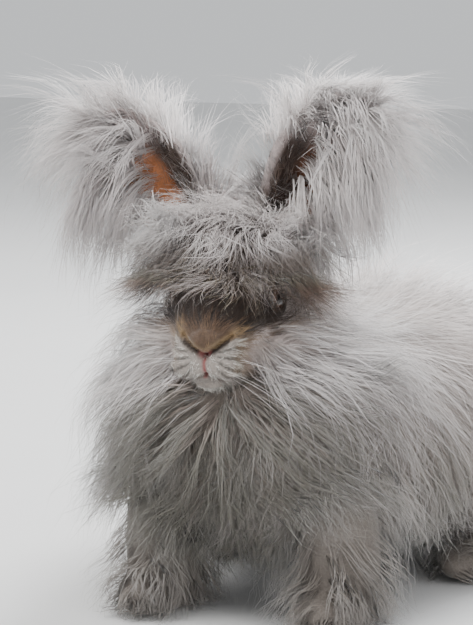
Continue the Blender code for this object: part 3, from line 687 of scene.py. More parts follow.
def eye_material(label, side):
    """A dark brown iris round a wide pupil, with a paler rim."""
    made, tree = new_material("eye_" + label)
    shader = tree.nodes["Principled BSDF"]
    set_inputs(shader, {"Roughness": 0.08, "Coat Weight": 1.0, "Coat Roughness": 0.03})
    place = add_node(tree, "ShaderNodeTexCoord")
    move = add_node(tree, "ShaderNodeVectorMath", {1: tuple(eye_centre(side) + SHIFT)}, "SUBTRACT")
    dot = add_node(tree, "ShaderNodeVectorMath", {1: tuple(eye_way(side) / EYE_RADIUS)}, "DOT_PRODUCT")
    noise = add_node(tree, "ShaderNodeTexNoise", {"Scale": 900.0})
    wobble = add_node(tree, "ShaderNodeMath", {1: 0.05}, "MULTIPLY_ADD")
    ramp = add_node(tree, "ShaderNodeValToRGB")
    for i, (at, colour) in enumerate(IRIS):
        stop = ramp.color_ramp.elements[i] if i < 2 else ramp.color_ramp.elements.new(at)
        stop.position = at
        stop.color = colour + (1.0,)
    wire(tree, (place, "Object", move, 0), (place, "Object", noise, "Vector"), (move, "Vector", dot, 0),
         (noise, "Fac", wobble, 0), (dot, "Value", wobble, 2), (wobble, "Value", ramp, "Fac"),
         (ramp, "Color", shader, "Base Color"))
    return made


# Wool

# What a look says where a piece of coat doesn't say it otherwise. A look also has length and rise, the
# length and height of its locks by place, and lie, the way they lie. Its numbers are
# points, width, broad: points along a strand, width of a fine one, share of broad flat ones
# gather, curl, wave: how far strands of a lock draw together, and the height and length of their waves
# stray, flyaway, spread, depth: how far strands leave their lock, and the share that leave it far
# sway, swirl, droop: how far locks bend to a side, follow eddies and sink
# shortest, turn: least share of its lock that a strand has, and where its tip's colour is reached
# uneven, grain, dimmed: how far locks and strands differ in lightness, and how dark broad ones are
PLAIN_LOOK = dict(tip=tip_colour, base=root_colour, shade=None, rounded=False, points=6, width=0.00038,
                  broad=0.45, gather=0.5, wave=0.036, flyaway=0.06, spread=0.0, sway=0.4, swirl=0.35,
                  shortest=0.62, turn=0.5, uneven=0.09, grain=0.035, dimmed=0.07, root=0.0018)


def steady(value):
    """The same number or colour at every place."""
    return lambda q: np.broadcast_to(value, (len(q),) + np.shape(value))


def rising(start, more, axis, low, high):
    """A number that grows with a place's x, y or z (axis 0, 1 or 2)."""
    return lambda q: start + more * blend(q[:, axis], low, high)


def surface_tree(mesh):
    points, _, triangles = mesh_arrays(mesh)
    return BVHTree.FromPolygons([Vector(p) for p in points], triangles.tolist())


def nearest(tree, points):
    under, out = np.empty_like(points), np.empty_like(points)
    for i, point in enumerate(points):
        found, facing, _, _ = tree.find_nearest(Vector(point))
        under[i], out[i] = found, facing
    away = points - under
    far = np.linalg.norm(away, axis=1)
    outward = (away * out).sum(1) > 0
    use = (far > 0.002) & outward
    out = np.where(use[:, None], away / np.maximum(far, 1e-9)[:, None], out)
    return under, unit(out)


def scatter(surface, weight, count):
    """Random places on a surface, denser where the weight is higher."""
    points, normals, triangles = surface
    a, b, c = (points[triangles[:, i]] for i in range(3))
    area = np.linalg.norm(np.cross(b - a, c - a), axis=1) / 2
    chance = area * np.maximum(weight((a + b + c) / 3 - SHIFT), 0)
    at = RNG.choice(len(triangles), count, p=chance / chance.sum())
    r = np.sqrt(RNG.random(count))[:, None]
    s = RNG.random(count)[:, None]
    share = (1 - r, r * (1 - s), r * s)
    place = sum(points[triangles[at, i]] * share[i] for i in range(3))
    facing = unit(sum(normals[triangles[at, i]] * share[i] for i in range(3)))
    return place, facing


def lay(tree, roots, normals, length, rise, look):
    """Middle lines of locks over the skin, and the way out of it along them."""
    line, outs = [roots - normals * ROOT_DEPTH], [normals]
    point, out = roots, normals
    bend = RNG.normal(0, look["sway"], len(roots))[:, None]
    for step in range(1, LAY_STEPS + 1):
        share = step / LAY_STEPS
        flow = look["lie"](point - SHIFT)
        flow = unit(flow - out * (flow * out).sum(1, keepdims=True))
        aside = bend * share + (look["swirl"] * waves(point, SWIRL_SCALE, 51))[:, None]
        heading = unit(flow + np.cross(flow, out) * aside - UP * look["droop"] * share)
        point = point + heading * (length / LAY_STEPS)[:, None]
        under, out = nearest(tree, point)
        wanted = rise * (1 - (1 - share) ** 2)
        off = ((point - under) * out).sum(1)
        highest = np.where(out[:, 2] < -0.2, 1.0, wanted * 1.15 + 0.001)
        point = point + out * (np.clip(off, wanted, highest) - off)[:, None]
        point[:, 2] = np.maximum(point[:, 2], 0.0025 + 0.004 * RNG.random(len(point)))
        line.append(point)
        outs.append(out)
    return np.stack(line, 1), np.stack(outs, 1)


def make_locks(roots, lines, outs, length, look):
    """Locks, with where their waves start, how many they have and how light they are."""
    count = len(roots)
    locks = dict(roots=roots, lines=lines, outs=outs, phase=RNG.random(count), cycles=length / look["wave"])
    if look["uneven"]:
        locks["light"] = RNG.normal(0, 1, count)
    return locks


def along_line(line, at):
    """Points at a share of the way along each line."""
    last = line.shape[1] - 1
    at = np.clip(at * last, 0, last - 1e-4)
    k = at.astype(int)
    t = (at - k)[..., None]
    row = np.arange(len(line))[:, None]
    return line[row, k] * (1 - t) + line[row, k + 1] * t


def nearest_lock(locks, roots):
    tree = KDTree(len(locks["roots"]))
    for i, root in enumerate(locks["roots"]):
        tree.insert(Vector(root), i)
    tree.balance()
    return np.array([tree.find(Vector(root))[1] for root in roots])


def strands_on(locks, roots, own, look, broad):
    """Paths of strands that gather towards their own lock's middle line. Broad ones lie lower."""
    n = len(roots)
    t = np.linspace(0, 1, look["points"])[None]
    at = t * (RNG.uniform(look["shortest"], 1.04, n) * np.where(broad, 0.88, 1.0))[:, None]
    path = along_line(locks["lines"][own], at)
    out = unit(along_line(locks["outs"][own], at))
    offset = (roots - locks["roots"][own])[:, None]
    gather = look["gather"] * t[..., None] ** 0.8
    side = unit(np.cross(unit(np.gradient(path, axis=1)), out))
    phase = locks["phase"][own][:, None]
    turns = locks["cycles"][own][:, None] * at
    own_phase = RNG.normal(0, 0.5, n)[:, None]
    swing = np.sin(2 * math.pi * (turns + phase) + own_phase)
    lift = np.cos(2 * math.pi * (turns * 0.8 + phase * 1.7) + own_phase)
    grows = look["curl"] * at**1.1 * np.where(broad, 0.6, 1.0)[:, None]
    fly = (RNG.random(n) < look["flyaway"]) & ~broad
    stray = RNG.normal(0, 1, (n, 3)) * np.where(fly, look["stray"] * 2.6, look["stray"])[:, None]
    layer = (RNG.uniform(-1.0, 0.35, n) - 0.25 * broad)[:, None, None] * look["depth"]
    wide = RNG.normal(0, 1, n)[:, None, None] * look["spread"]
    path = path + offset * (1 - gather) + side * (swing * grows)[..., None]
    path = path + out * (lift * grows * 0.6)[..., None]
    path = path + out * layer * t[..., None] + side * wide * t[..., None]
    path = path + stray[:, None] * t[..., None] ** 2
    return held_in(path), out


def held_in(path):
    """Draws back what passes the bounds of the coat, and keeps strands above the floor."""
    path[..., 2] = np.maximum(path[..., 2], SHIFT[2] + 0.0012)
    path[..., 2] -= np.maximum(path[..., 2] - SHIFT[2] - CEILING, 0) * DRAWN_BACK
    for axis, bound in enumerate((WIDEST, LONGEST)):
        over = np.maximum(abs(path[..., axis]) - bound, 0)
        path[..., axis] -= np.sign(path[..., axis]) * over * DRAWN_BACK
    return path


def widths_of(look, count):
    """Widths and flatness of strands: fine ones, and broad flat ones under them."""
    broad = RNG.random(count) < look["broad"]
    share = np.where(broad, RNG.uniform(1.5, 3.0, count), RNG.uniform(0.45, 0.95, count))
    return look["width"] * share / 2, np.where(broad, 0.16, 0.7), broad


def strand_faces(n, count):
    """Triangles of three-sided strands: a cap at the root, walls and a point."""
    per = (count - 1) * 3 + 1
    template = [(0, 1, 2)]
    for k in range(count - 2):
        for j in range(3):
            a, b = k * 3 + j, k * 3 + (j + 1) % 3
            template += [(a, b + 3, b), (a, a + 3, b + 3)]
    last = (count - 2) * 3
    template += [(last + j, per - 1, last + (j + 1) % 3) for j in range(3)]
    return (np.array(template)[None] + (np.arange(n) * per)[:, None, None]).reshape(-1, 3)


def strand_points(path, out, width, flat, soft):
    """Points of tapered strands, and the way that each is shaded."""
    n, count = path.shape[:2]
    ahead = unit(np.gradient(path, axis=1))
    side = unit(np.cross(ahead, out + 1e-6))
    over = np.cross(side, ahead)
    t = np.linspace(0, 1, count)
    taper = (0.55 + 0.45 * np.minimum(t * 4, 1)) * (1 - t**1.6)
    rings, facings = [], []
    for angle in (math.pi / 2, math.pi * 7 / 6, math.pi * 11 / 6):
        around = side * math.cos(angle) + over * (math.sin(angle) * flat)[:, None, None]
        rings.append(path[:, :-1] + around[:, :-1] * (width[:, None] * taper[None, :-1])[..., None])
        facings.append(unit(unit(around) * (1 - SOFTNESS) + soft * SOFTNESS)[:, :-1])
    points, facing = (np.stack(rows, 2).reshape(n, -1, 3) for rows in (rings, facings))
    return np.concatenate([points, path[:, -1:]], 1), np.concatenate([facing, soft[:, -1:]], 1)


def strand_mesh(name, path, out, width, flat, spots, colours, middle=None):
    """Tapered three-sided strands as one mesh, each with its own patch of the coat's map.

    They are shaded as parts of the coat round them, or of a ball round its middle.
    """
    n, count = path.shape[:2]
    soft = out if middle is None else unit(path - middle)
    points, facing = strand_points(path, out, width, flat, soft)
    faces = strand_faces(n, count)
    made = add_mesh(name, points.reshape(-1, 3), faces)
    share = np.append(np.repeat(np.linspace(0, 1, count)[:-1], 3), 1.0)
    across = np.append(np.tile((-1.0, 0.0, 1.0), count - 1), 0.0)
    patch = np.stack([across * 0.0015, share * 0.003], 1)
    places = (spots[:, None] + patch[None]).reshape(-1, 2)
    layer = made.data.uv_layers.new(name="OFBake")
    layer.data.foreach_set("uv", places[faces.ravel()].astype(np.float32).ravel())
    set_colour(made.data, "tint", colours(share, points).reshape(-1, 3))
    made.data.normals_split_custom_set_from_vertices(facing.reshape(-1, 3).astype(np.float32))
    return made


def unwrap(points, centre, axis):
    """Place of points on the skin's own shape: the turn round an axis and the way along it."""
    rel = points - centre
    first, second = [i for i in range(3) if i != axis]
    turn = np.arctan2(rel[:, second], rel[:, first]) / (2 * math.pi) + 0.5
    far = np.hypot(rel[:, first], rel[:, second])
    pole = np.arctan2(rel[:, axis], far + 0.02) / math.pi + 0.5
    return np.stack([turn * 0.97 + 0.01, pole * 0.97 + 0.01], 1)


def finish_piece(piece, material):
    piece.data.materials.append(material)
    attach(piece, "root")


def grow(name, locks, roots, look, centre):
    """One piece of coat: strands from some roots, each along the lock that is rooted nearest to it."""
    count = len(roots)
    width, flat, broad = widths_of(look, count)
    own = nearest_lock(locks, roots)
    path, out = strands_on(locks, roots, own, look, broad)
    light = np.ones(count)
    if look["uneven"]:
        light = light + look["uneven"] * locks["light"][own] + look["grain"] * RNG.normal(0, 1, count)
        light = light - look["dimmed"] * broad
    q = roots - SHIFT
    tips, bases = look["tip"](q), look["base"](q)

    def colours(share, at):
        turn = blend(share, 0.0, look["turn"])[None, :, None]
        colour = bases[:, None] * (1 - turn) + tips[:, None] * turn
        if look["shade"]:
            colour = look["shade"](at - SHIFT, colour)
        return colour * light[:, None, None]

    axis, middle = (2, path.mean((0, 1))) if look["rounded"] else (1, None)
    made = strand_mesh(name, path, out, width, flat, unwrap(roots, centre, axis), colours, middle)
    finish_piece(made, look["material"])


def coat(name, skin, weight, locks, count, look):
    """A piece of coat that grows where a weight says on the skin."""
    surface, tree = skin
    lock_roots, normals = scatter(surface, weight, locks)
    q = lock_roots - SHIFT
    length = look["length"](q) * RNG.uniform(0.82, 1.15, locks)
    rise = look["rise"](q) * RNG.uniform(0.75, 1.2, locks)
    lines, outs = lay(tree, lock_roots, normals, length, rise, look)
    laid = make_locks(lock_roots, lines, outs, length, look)
    roots, _ = scatter(surface, weight, count)
    grow(name, laid, roots, look, roots.mean(0))


# Lies of the coat


def head_lie(q):
    """Forward over the brow, out and down over the cheeks, back and down over the nape."""
    side, behind, above = from_head(q).T
    falls = blend(0.062 - above, 0.0, 0.034)
    brow = rows_of(side * (15 + 12 * falls), -0.85 + 0.5 * falls, -0.05 - 0.8 * falls)
    back = rows_of(side * 16, 1.0, -0.2 - 0.9 * falls)
    crown = mix(brow, back, blend(behind, 0.074, 0.092))
    down = -0.45 - 0.6 * blend(-above, -0.005, 0.02)
    cheek = rows_of(np.clip(side / 0.02, -1, 1) * 1.25, 0.25, down)
    way = mix(crown, cheek, blend(0.022 - above, 0.0, 0.012))
    nape = rows_of(side * 12, 1.0, -0.35)
    return turned(mix(way, nape, blend(behind, 0.09, 0.11)))


def face_lie(q):
    """Away from the nose in all directions, and backwards."""
    side, behind, above = from_head(q).T
    return turned(unit(rows_of(side, behind * 0.6, above + 0.002)) + (0.0, 0.45, 0.0))


def neck_lie(q):
    chest = rows_of(q[:, 0] * 5, -0.15, -1.0)
    shoulder = rows_of(q[:, 0] * 10, 1.0, -0.5)
    return mix(chest, shoulder, blend(q[:, 1], -0.06, -0.015))


def torso_lie(q):
    side = np.clip(q[:, 0] / 0.03, -1, 1)
    spine = rows_of(0.3 * side, 1.0, -0.05)
    flank = rows_of(0.2 * side, 0.55, -0.9)
    rump = rows_of(0.15 * side, 0.6, -0.9)
    way = mix(spine, flank, blend(abs(q[:, 0]), 0.01, 0.06))
    return mix(way, rump, blend(q[:, 1], 0.14, 0.19))


def leg_lie(q):
    """Down the legs, and outwards over the feet."""
    middle = np.sign(q[:, 0]) * 0.055
    low = fade(q[:, 2], 0.015, 0.035)
    fore = q[:, 1] < -0.085
    ahead = np.where(fore, -0.6, 0.25) * low + np.where(fore, -0.1, 0.2) * (1 - low)
    return rows_of((q[:, 0] - middle) * (6 + 8 * low), ahead, -1 + 0.35 * low)


def tail_lie(q):
    return rows_of(q[:, 0] * 8, 0.6, -0.8)


# Which part of the skin each piece of coat grows from


def flesh_depth(q):
    """Distance in from the wool of the head: 1 on the face, 0 where long wool grows."""
    side, behind, above = from_head(q).T
    face = fade(behind, 0.04, 0.062)
    cheek = blend(abs(side), 0.013, 0.021) * blend(-above, -0.012, 0.0) * blend(behind, 0.014, 0.028)
    throat = blend(-above, 0.014, 0.022) * blend(behind, 0.018, 0.03)
    return np.clip(face - cheek - throat, 0, 1)


def on_head(q):
    return within(from_head(q), *HEAD_AREA)


def bare_nose(q):
    return nose_share(q) > 0.3


def crown_weight(q):
    side, behind, above = from_head(q).T
    flank = 1 + 0.8 * blend(abs(side), 0.012, 0.03)
    free = on_head(q) & (near_eye(q) > 0.0112)
    return blend(behind, 0.036, 0.048) * blend(above, 0.02, 0.03) * flank * free


def fringe_weight(q):
    side, behind, above = from_head(q).T
    band = blend(above, 0.024, 0.03) * fade(above, 0.046, 0.054) * fade(behind, 0.056, 0.062)
    return band * (abs(side) < 0.032) * (near_eye(q) > 0.0115)


def cheek_weight(q):
    _, behind, above = from_head(q).T
    front = 1 + 1.2 * (behind < 0.09) + 1.5 * (behind < 0.045)
    free = on_head(q) & (near_eye(q) > 0.012)
    return (1 - flesh_depth(q)) * fade(above, 0.018, 0.03) * free * front


def face_weight(q):
    behind = from_head(q)[:, 1]
    furred = np.maximum(flesh_depth(q), 0.45 * (behind < 0.045))
    free = on_head(q) & ~bare_nose(q) & (near_eye(q) > 0.0098)
    return furred * free * (1.6 - 18 * np.clip(behind, 0, 0.05))


def wisp_weight(q):
    side, behind, above = from_head(q).T
    return (above > 0.045) & (abs(side) < 0.024) & (behind > 0.058)


def on_neck(q):
    return within(q, *NECK, 1.09) & (~on_head(q) | (q[:, 2] < 0.115)) & (q[:, 2] > 0.035)


def on_chest(q):
    return on_neck(q) & (q[:, 1] < 0.0)


def on_tail(q):
    return within(q, *TAIL, 1.12)


def on_leg(q):
    front = (q[:, 1] < -0.04) & (q[:, 2] < 0.052)
    hind = within(rows_of(abs(q[:, 0]), q[:, 1], q[:, 2]), *HIND_AREA)
    return (front | hind) & (q[:, 2] > 0.004)


def on_torso(q):
    low_leg = on_leg(q) & (q[:, 2] < 0.045)
    return ~on_head(q) & ~on_neck(q) & ~on_tail(q) & ~low_leg & (q[:, 1] > -0.07) & (q[:, 2] > 0.03)


def leg_weight(q):
    return on_leg(q) * (1 + 2.4 * fade(q[:, 2], 0.02, 0.035)) * (1 + 0.6 * (q[:, 1] < 0))


# Lengths, heights and colours of the pieces of coat


def crown_length(q):
    behind = from_head(q)[:, 1]
    return 0.04 + 0.012 * blend(behind, 0.055, 0.08) + 0.02 * blend(behind, 0.09, 0.11)


def crown_rise(q):
    side, behind, _ = from_head(q).T
    return 0.019 + 0.012 * blend(abs(side), 0.012, 0.034) * fade(behind, 0.08, 0.1)


def crown_roots(q):
    return mix(root_colour(q), LILAC, 0.55)


def crown_tips(q):
    return mix(LILAC, SILVER, np.clip(0.4 + 0.6 * waves(q, 160.0, 8), 0, 1))


def crown_shade(at, colour):
    """The fringe is brown-grey below its pale top, with paler curls, and in painted shadow at its lowest
    edge.
    """
    _, behind, above = np.moveaxis(from_head(at), -1, 0)
    low = fade(above + 0.006 * waves(at, 110.0, 17), 0.036, 0.05)
    front = fade(behind, 0.055, 0.08)
    brown = FRINGE_BROWN * (0.7 + 0.35 * colour.mean(-1, keepdims=True))
    colour = mix(colour, brown, 0.95 * low * front)
    # painted shadow: the lowest edge of the fringe over the eyes goes near-black
    return mix(colour, DARK_BROWN * 0.6, 0.9 * fade(above, 0.02, 0.042) * front)


def fringe_tips(q):
    return mix(FRINGE_BROWN, LILAC, np.clip(0.15 + 0.6 * waves(q, 600.0, 31), 0, 1))


def cheek_length(q):
    long = 0.07 + 0.004 * blend(from_head(q)[:, 1], 0.085, 0.11)
    return long * (1 - 0.45 * flesh_depth(q))


def cheek_tips(q):
    side, behind, above = from_head(q).T
    pale = mix(tip_colour(q), SILVER, 0.75 * blend(above, -0.024, -0.006) * blend(abs(side), 0.012, 0.024))
    # painted shade: the lower cheeks darken towards the chest
    pale = mix(pale, CHEST_GREY_AND_SHADE, 0.8 * blend(-above, 0.01, 0.03) * (behind < 0.09))
    # painted shadow of the fringe: cheek wool near the eyes goes dark brown
    return mix(pale, DARK_BROWN, 0.85 * blend(above, -0.002, 0.009) * fade(behind, 0.07, 0.09))


def face_length(q):
    side, behind, above = from_head(q).T
    far = np.hypot(side, above + 0.004)
    return 0.0032 + 0.012 * blend(far, 0.003, 0.018) + 0.012 * blend(behind, 0.012, 0.04)


def face_rise(q):
    return 0.001 + 0.005 * blend(from_head(q)[:, 1], 0.004, 0.035)


def chest_rise(q):
    return 0.019 + 0.008 * blend(abs(q[:, 0]), 0.03, 0.06)


def chest_roots_in_shade(q):
    # the chest's roots are darkened as painted shade under the head
    return root_colour(q) * 0.75


def torso_rise(q):
    return 0.024 * (0.45 + 0.55 * blend(q[:, 2], 0.03, 0.08))


def pale_tips(q):
    return mix(LILAC, PINK_WHITE, np.clip(0.85 + 0.25 * waves(q, 200.0, 9), 0, 1))


def rim_tips(q):
    return mix(DARK_BROWN, BROWN_GREY, np.clip(0.45 + 0.3 * waves(q, 400.0, 12), 0, 1))


# Pieces of coat


def dress_head(skin, wool, short):
    crown = dict(wool, slot="face_fur", length=crown_length, rise=crown_rise, lie=head_lie, tip=crown_tips,
                 base=crown_roots, shade=crown_shade, width=0.00027, broad=0.4, gather=0.3, curl=0.0055,
                 wave=0.03, stray=0.003, flyaway=0.14, spread=0.003, depth=0.013, sway=1.0, swirl=1.6,
                 droop=0.3, shortest=0.4)
    fringe = dict(crown, length=steady(0.03), rise=steady(0.01), tip=fringe_tips, shade=None, width=0.0003,
                  broad=0.15, curl=0.005, depth=0.008, droop=0.5)
    cheeks = dict(wool, length=cheek_length, rise=steady(0.028), lie=head_lie, tip=cheek_tips,
                  width=0.00036, broad=0.4, gather=0.55, curl=0.0042, stray=0.003, flyaway=0.14,
                  spread=0.003, depth=0.012, sway=0.3, droop=0.1, shortest=0.4, uneven=0.07)
    face = dict(short, length=face_length, rise=face_rise, lie=face_lie, tip=face_colour, base=face_roots,
                points=4, width=0.00026, broad=0.0, curl=0.0006, wave=0.02, stray=0.0009, depth=0.0015,
                sway=0.3, swirl=0.2, droop=0.0, turn=0.4, uneven=0.14)
    coat("wool_crown", skin, crown_weight, 560, 6400, crown)
    coat("wool_fringe", skin, fringe_weight, 240, 1400, fringe)
    coat("wool_cheeks", skin, cheek_weight, 420, 6600, cheeks)
    coat("fur_face", skin, face_weight, 1500, 8000, face)


def dress_body(skin, wool):
    chest = dict(wool, length=rising(0.047, 0.01, 2, 0.07, 0.1), rise=chest_rise, lie=neck_lie,
                 base=chest_roots_in_shade, broad=0.4, gather=0.58, curl=0.0062, wave=0.029, stray=0.004,
                 flyaway=0.12, spread=0.003, depth=0.012, sway=0.7, swirl=0.9, droop=0.15, uneven=0.12)
    torso = dict(wool, length=steady(0.074), rise=torso_rise, lie=torso_lie, width=0.00042, curl=0.005,
                 stray=0.005, flyaway=0.08, spread=0.004, depth=0.014, droop=0.12)
    legs = dict(wool, length=rising(0.026, 0.016, 2, 0.012, 0.035),
                rise=rising(0.01, 0.009, 2, 0.008, 0.03), lie=leg_lie, points=5, gather=0.45, curl=0.0045,
                wave=0.028, stray=0.003, flyaway=0.1, depth=0.009, sway=0.6, swirl=0.5, droop=0.25)
    tail = dict(legs, length=steady(0.03), rise=steady(0.009), lie=tail_lie)
    coat("wool_chest", skin, on_chest, 380, 6200, chest)
    for name, low, high, count, points in (("wool_shoulders", -0.1, 0.055, 5000, 6),
                                           ("wool_rump", 0.055, 0.3, 4000, 5)):
        def stretch(q):
            return on_torso(q) & (q[:, 1] >= low) & (q[:, 1] < high)

        coat(name, skin, stretch, 440, count, dict(torso, points=points))
    coat("wool_legs", skin, leg_weight, 640, 8200, legs)
    coat("wool_tail", skin, on_tail, 90, 1000, tail)


def on_ear(label, share, u, face):
    """Points on an ear's leaf, in the head's directions, and the ways along and up across it."""
    point, half, along, across = ear_frame(label, share)
    deep = EAR_CUP * half * (1 - u * u) + np.where(face, 0.0, EAR_THICK)
    place = point + across * (half * u)[:, None] + deep[:, None] * np.array((0.0, 1.0, 0.0))
    return place, along, across * EAR_UPPER[label]


def arcs(roots, heading, long, falls):
    """Middle lines that start along a heading and bend down, and a way out of each."""
    out = unit(heading + UP * 0.8)
    line, outs = [roots], [out]
    point = roots
    for _ in range(LAY_STEPS):
        point = point + heading * (long / LAY_STEPS)[:, None]
        heading = unit(heading - UP * falls)
        line.append(point)
        outs.append(unit(np.cross(np.cross(heading, out), heading)))
    return np.stack(line, 1), np.stack(outs, 1)


def hang(name, roots, heading, lengths, drops, count, look):
    """A piece of strands from round some roots, along locks that bend down."""
    locks = len(roots)
    long = RNG.uniform(*lengths, locks)
    lines, outs = arcs(roots, heading, long, RNG.uniform(*drops, locks)[:, None])
    hung = make_locks(roots, lines, outs, long, look)
    own = RNG.integers(0, locks, count)
    strand_roots = roots[own] + RNG.normal(0, look["root"], (count, 3))
    grow(name, hung, strand_roots, look, roots.mean(0))


def ear_wool(name, label, look, locks, count, shares, rims, face, aim, lengths, drops):
    """Wool from a stretch of an ear: aim gives each lock's weights along, up across and forward."""
    share = RNG.uniform(*shares, locks)
    u = RNG.uniform(*rims, locks) * EAR_UPPER[label]
    facing = RNG.random(locks) < face
    place, along, upper = on_ear(label, share, u, facing)
    forward = np.array((0.0, -1.0, 0.0)) * np.where(facing, 1.0, -1.0)[:, None]
    weights = [RNG.uniform(*span, locks)[:, None] for span in aim]
    heading = unit(turned(along * weights[0] + upper * weights[1] + forward * weights[2]))
    hang(name, in_head(place) + SHIFT, heading, lengths, drops, count, look)


def dress_ear(label, wool, short):
    """A pompom from the fold, locks that hang before the cup, a fluffy edge and a dark rim inside."""
    tuft = dict(wool, tip=pale_tips, base=steady(LILAC), rounded=True, width=0.00042, broad=0.5, gather=0.3,
                curl=0.003, wave=0.042, stray=0.0032, flyaway=0.08, spread=0.003, depth=0.004,
                shortest=0.5, turn=0.35, uneven=0.06, grain=0.04, dimmed=0.0)
    rim = dict(tuft, material=short["material"], slot=short["slot"], tip=rim_tips, base=steady(DARK_BROWN),
               points=4, width=0.00045, broad=0.0, curl=0.0006, stray=0.001, spread=0.001, depth=0.001,
               root=0.003)
    inmost = EAR_HUNG[label]
    # locks, strands, how far up the ear and across it, share on the cup's side, aim, lengths, drops
    pieces = (
        ("wool_ear_pompom_", tuft, 150, 2500, (0.56, 1.0), (-1, 1), 0.6,
         ((0.2, 1.2), (-0.7, 0.7), (0.0, 1.0)), (0.052, 0.078), (0.1, 0.26)),
        ("wool_ear_front_", tuft, 60, 1300, (0.3, 0.92), (-1, inmost), 1.0,
         ((0.0, 0.5), (-0.9, -0.1), (0.4, 0.9)), (0.055, 0.076), (0.25, 0.5)),
        ("wool_ear_curtain_", tuft, 36, 560, (0.12, 0.5), (-1, inmost - 0.25), 1.0,
         ((0.1, 0.7), (-1.0, -0.4), (0.2, 0.6)), (0.028, 0.048), (0.2, 0.5)),
        ("wool_ear_back_", tuft, 50, 420, (0.02, 0.92), (-0.9, 0.9), 0.0,
         ((0.6, 1.2), (-0.5, 0.5), (0.1, 0.4)), (0.026, 0.044), (0.1, 0.3)),
        ("wool_ear_edge_", tuft, 80, 900, (0.04, 0.9), (0.7, 1.0), 0.5,
         ((0.5, 1.1), (0.4, 1.0), (-0.3, 0.5)), (0.026, 0.046), (0.04, 0.2)),
        ("fur_ear_", rim, 130, 800, (0.08, 0.54), (0.3, 0.8), 1.0,
         ((0.8, 1.2), (-0.2, 0.3), (0.1, 0.3)), (0.007, 0.011), (0.0, 0.03)),
    )
    for start, look, *row in pieces:
        ear_wool(start + label, label, look, *row)


def wisps(surface, wool):
    """Pale curved wisps that stand up between the ears and fall over again."""
    locks = 26
    roots, _ = scatter(surface, wisp_weight, locks)
    heading = rows_of(RNG.uniform(-0.8, 0.8, locks), RNG.uniform(0.1, 0.7, locks), 1.0)
    look = dict(wool, tip=steady(SILVER * 1.05), base=steady(LILAC), points=7, width=0.00034, broad=0.2,
                curl=0.0035, wave=0.045, stray=0.003, flyaway=0.15, spread=0.0016, depth=0.003,
                shortest=0.5, turn=0.4, uneven=0.0, root=0.0016)
    hang("wool_wisps", roots, unit(turned(heading)), (0.06, 0.085), (0.2, 0.45), 700, look)


def whiskers(material):
    count, points = 10, 7
    side = np.where(np.arange(count) % 2 == 0, 1.0, -1.0)
    u = RNG.random(count)
    aside, behind = side * RNG.uniform(0.007, 0.012, count), RNG.uniform(0.004, 0.01, count)
    roots = rows_of(aside, behind, -0.004 - 0.009 * u)
    heading = unit(rows_of(side * 1.2, RNG.uniform(-0.35, 0.3, count), 0.25 - 0.75 * u))
    length = RNG.uniform(0.024, 0.042, count)
    t = np.linspace(0, 1, points)
    path = roots[:, None] + heading[:, None] * (length[:, None] * t)[..., None]
    path[..., 2] -= 0.01 * t**2
    path = in_head(path) + SHIFT
    out = np.broadcast_to(UP, path.shape)
    made = strand_mesh("whiskers", path, out, np.full(count, 0.0001), np.ones(count),
                       unwrap(path[:, 0], path[:, 0].mean(0), 1), lambda share, at: SILVER + 0 * at)
    finish_piece(made, material)


# Stage


def floor_material():
    made, tree = new_material("floor")
    shader = tree.nodes["Principled BSDF"]
    set_inputs(shader, {"Roughness": 0.85})
    noise = add_node(tree, "ShaderNodeTexNoise", {"Scale": 30.0})
    ramp = add_node(tree, "ShaderNodeValToRGB")
    ramp.color_ramp.elements[0].color = (0.7, 0.7, 0.7, 1.0)
    ramp.color_ramp.elements[1].color = (0.76, 0.76, 0.755, 1.0)
    wire(tree, (noise, "Fac", ramp, "Fac"), (ramp, "Color", shader, "Base Color"))
    return made


def add_floor():
    size = 4.0
    points = np.array([(-size, -size, 0), (size, -size, 0), (size, size, 0), (-size, size, 0)])
    floor = add_mesh("floor", points, np.array([(0, 1, 2), (0, 2, 3)]), smooth=False)
    floor.data.materials.append(floor_material())


def add_light(name, place, aim, size, power, colour=(1.0, 1.0, 1.0)):
    data = bpy.data.lights.new(name, "AREA")
    data.shape = "DISK"
    data.size = size
    data.energy = power
    data.color = colour
    lamp = bpy.data.objects.new(name, data)
    bpy.context.scene.collection.objects.link(lamp)
    lamp.location = place
    lamp.rotation_euler = (Vector(aim) - Vector(place)).to_track_quat("-Z", "Y").to_euler()


def add_stage():
    add_floor()
    middle = (0.0, 0.0, 0.12)
    add_light("key", (-0.6, -0.8, 1.5), middle, 1.2, 34.0, (1.0, 0.99, 0.97))
    add_light("rim", (0.3, 1.2, 1.3), middle, 1.0, 56.0, (0.98, 0.99, 1.0))
    add_light("fill", (1.2, -0.9, 0.7), middle, 1.4, 9.0)
    world = bpy.data.worlds.new("studio")
    world.use_nodes = True
    shade = world.node_tree.nodes["Background"]
    set_inputs(shade, {"Color": (0.77, 0.79, 0.81, 1.0), "Strength": 0.95})
    bpy.context.scene.world = world


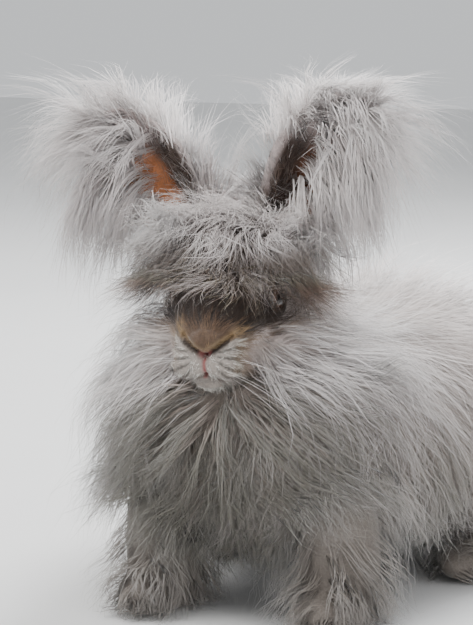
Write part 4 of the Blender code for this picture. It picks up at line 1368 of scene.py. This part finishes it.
def add_camera():
    data = bpy.data.cameras.new("camera")
    data.lens = 144.0
    data.sensor_width = 36.0
    camera = bpy.data.objects.new("camera", data)
    bpy.context.scene.collection.objects.link(camera)
    azimuth, elevation, distance = math.radians(25), math.radians(8), 1.25
    target = Vector(np.array((-0.014, -0.06, 0.15)) + SHIFT)
    level = math.cos(elevation)
    back = Vector((math.sin(azimuth) * level, -math.cos(azimuth) * level, math.sin(elevation)))
    camera.location = target + back * distance
    camera.rotation_euler = (-back).to_track_quat("-Z", "Y").to_euler()
    bpy.context.scene.camera = camera


def dress_skin(bare):
    """Makes the skin, and gives its surface without the ears and a tree to search all of it."""
    skin, kinds = make_skin()
    points, normals, triangles = mesh_arrays(skin.data)
    colours = skin_colour(points - SHIFT, kinds)
    for kind, label in ((2, "left"), (3, "right")):
        colours[kinds == kind] = ear_colour(label)
    set_colour(skin.data, "tint", colours)
    flesh = ["head", "neck", "torso", "tail", "ear_left", "ear_right"]
    flesh += ["leg_" + kind + "_" + label for kind in ("front", "hind") for label, _ in SIDES]
    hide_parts(*flesh)
    finish_piece(skin, bare)
    rooted = kinds[triangles[:, 0]] < 2
    return (points, normals, triangles[rooted]), surface_tree(skin.data)


def dress_eyes():
    for label, side in SIDES:
        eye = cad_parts["eye_" + label]
        eye.data.materials.clear()
        eye.data.materials.append(eye_material(label, side))
        eye.data.shade_smooth()


def dress():
    fine = tinted("wool", roughness=0.65, sheen=0.3, specular=0.25, grain=420.0, low=0.9, high=1.08,
                  soft=0.5)
    short_fur = tinted("short_fur", roughness=0.7, sheen=0.2, specular=0.2, grain=700.0, low=0.8, high=1.15)
    bare = tinted("skin", roughness=0.75, sheen=0.25, specular=0.3, grain=900.0, low=0.72, high=1.12,
                  bump=0.6, detail=10.0)
    wool = dict(PLAIN_LOOK, material=fine, slot="wool")
    short = dict(PLAIN_LOOK, material=short_fur, slot="face_fur")
    skin = dress_skin(bare)
    dress_eyes()
    dress_head(skin, wool, short)
    wisps(skin[0], wool)
    dress_body(skin, wool)
    for label, _ in SIDES:
        dress_ear(label, wool, short)
    whiskers(fine)


dress()
add_stage()
add_camera()
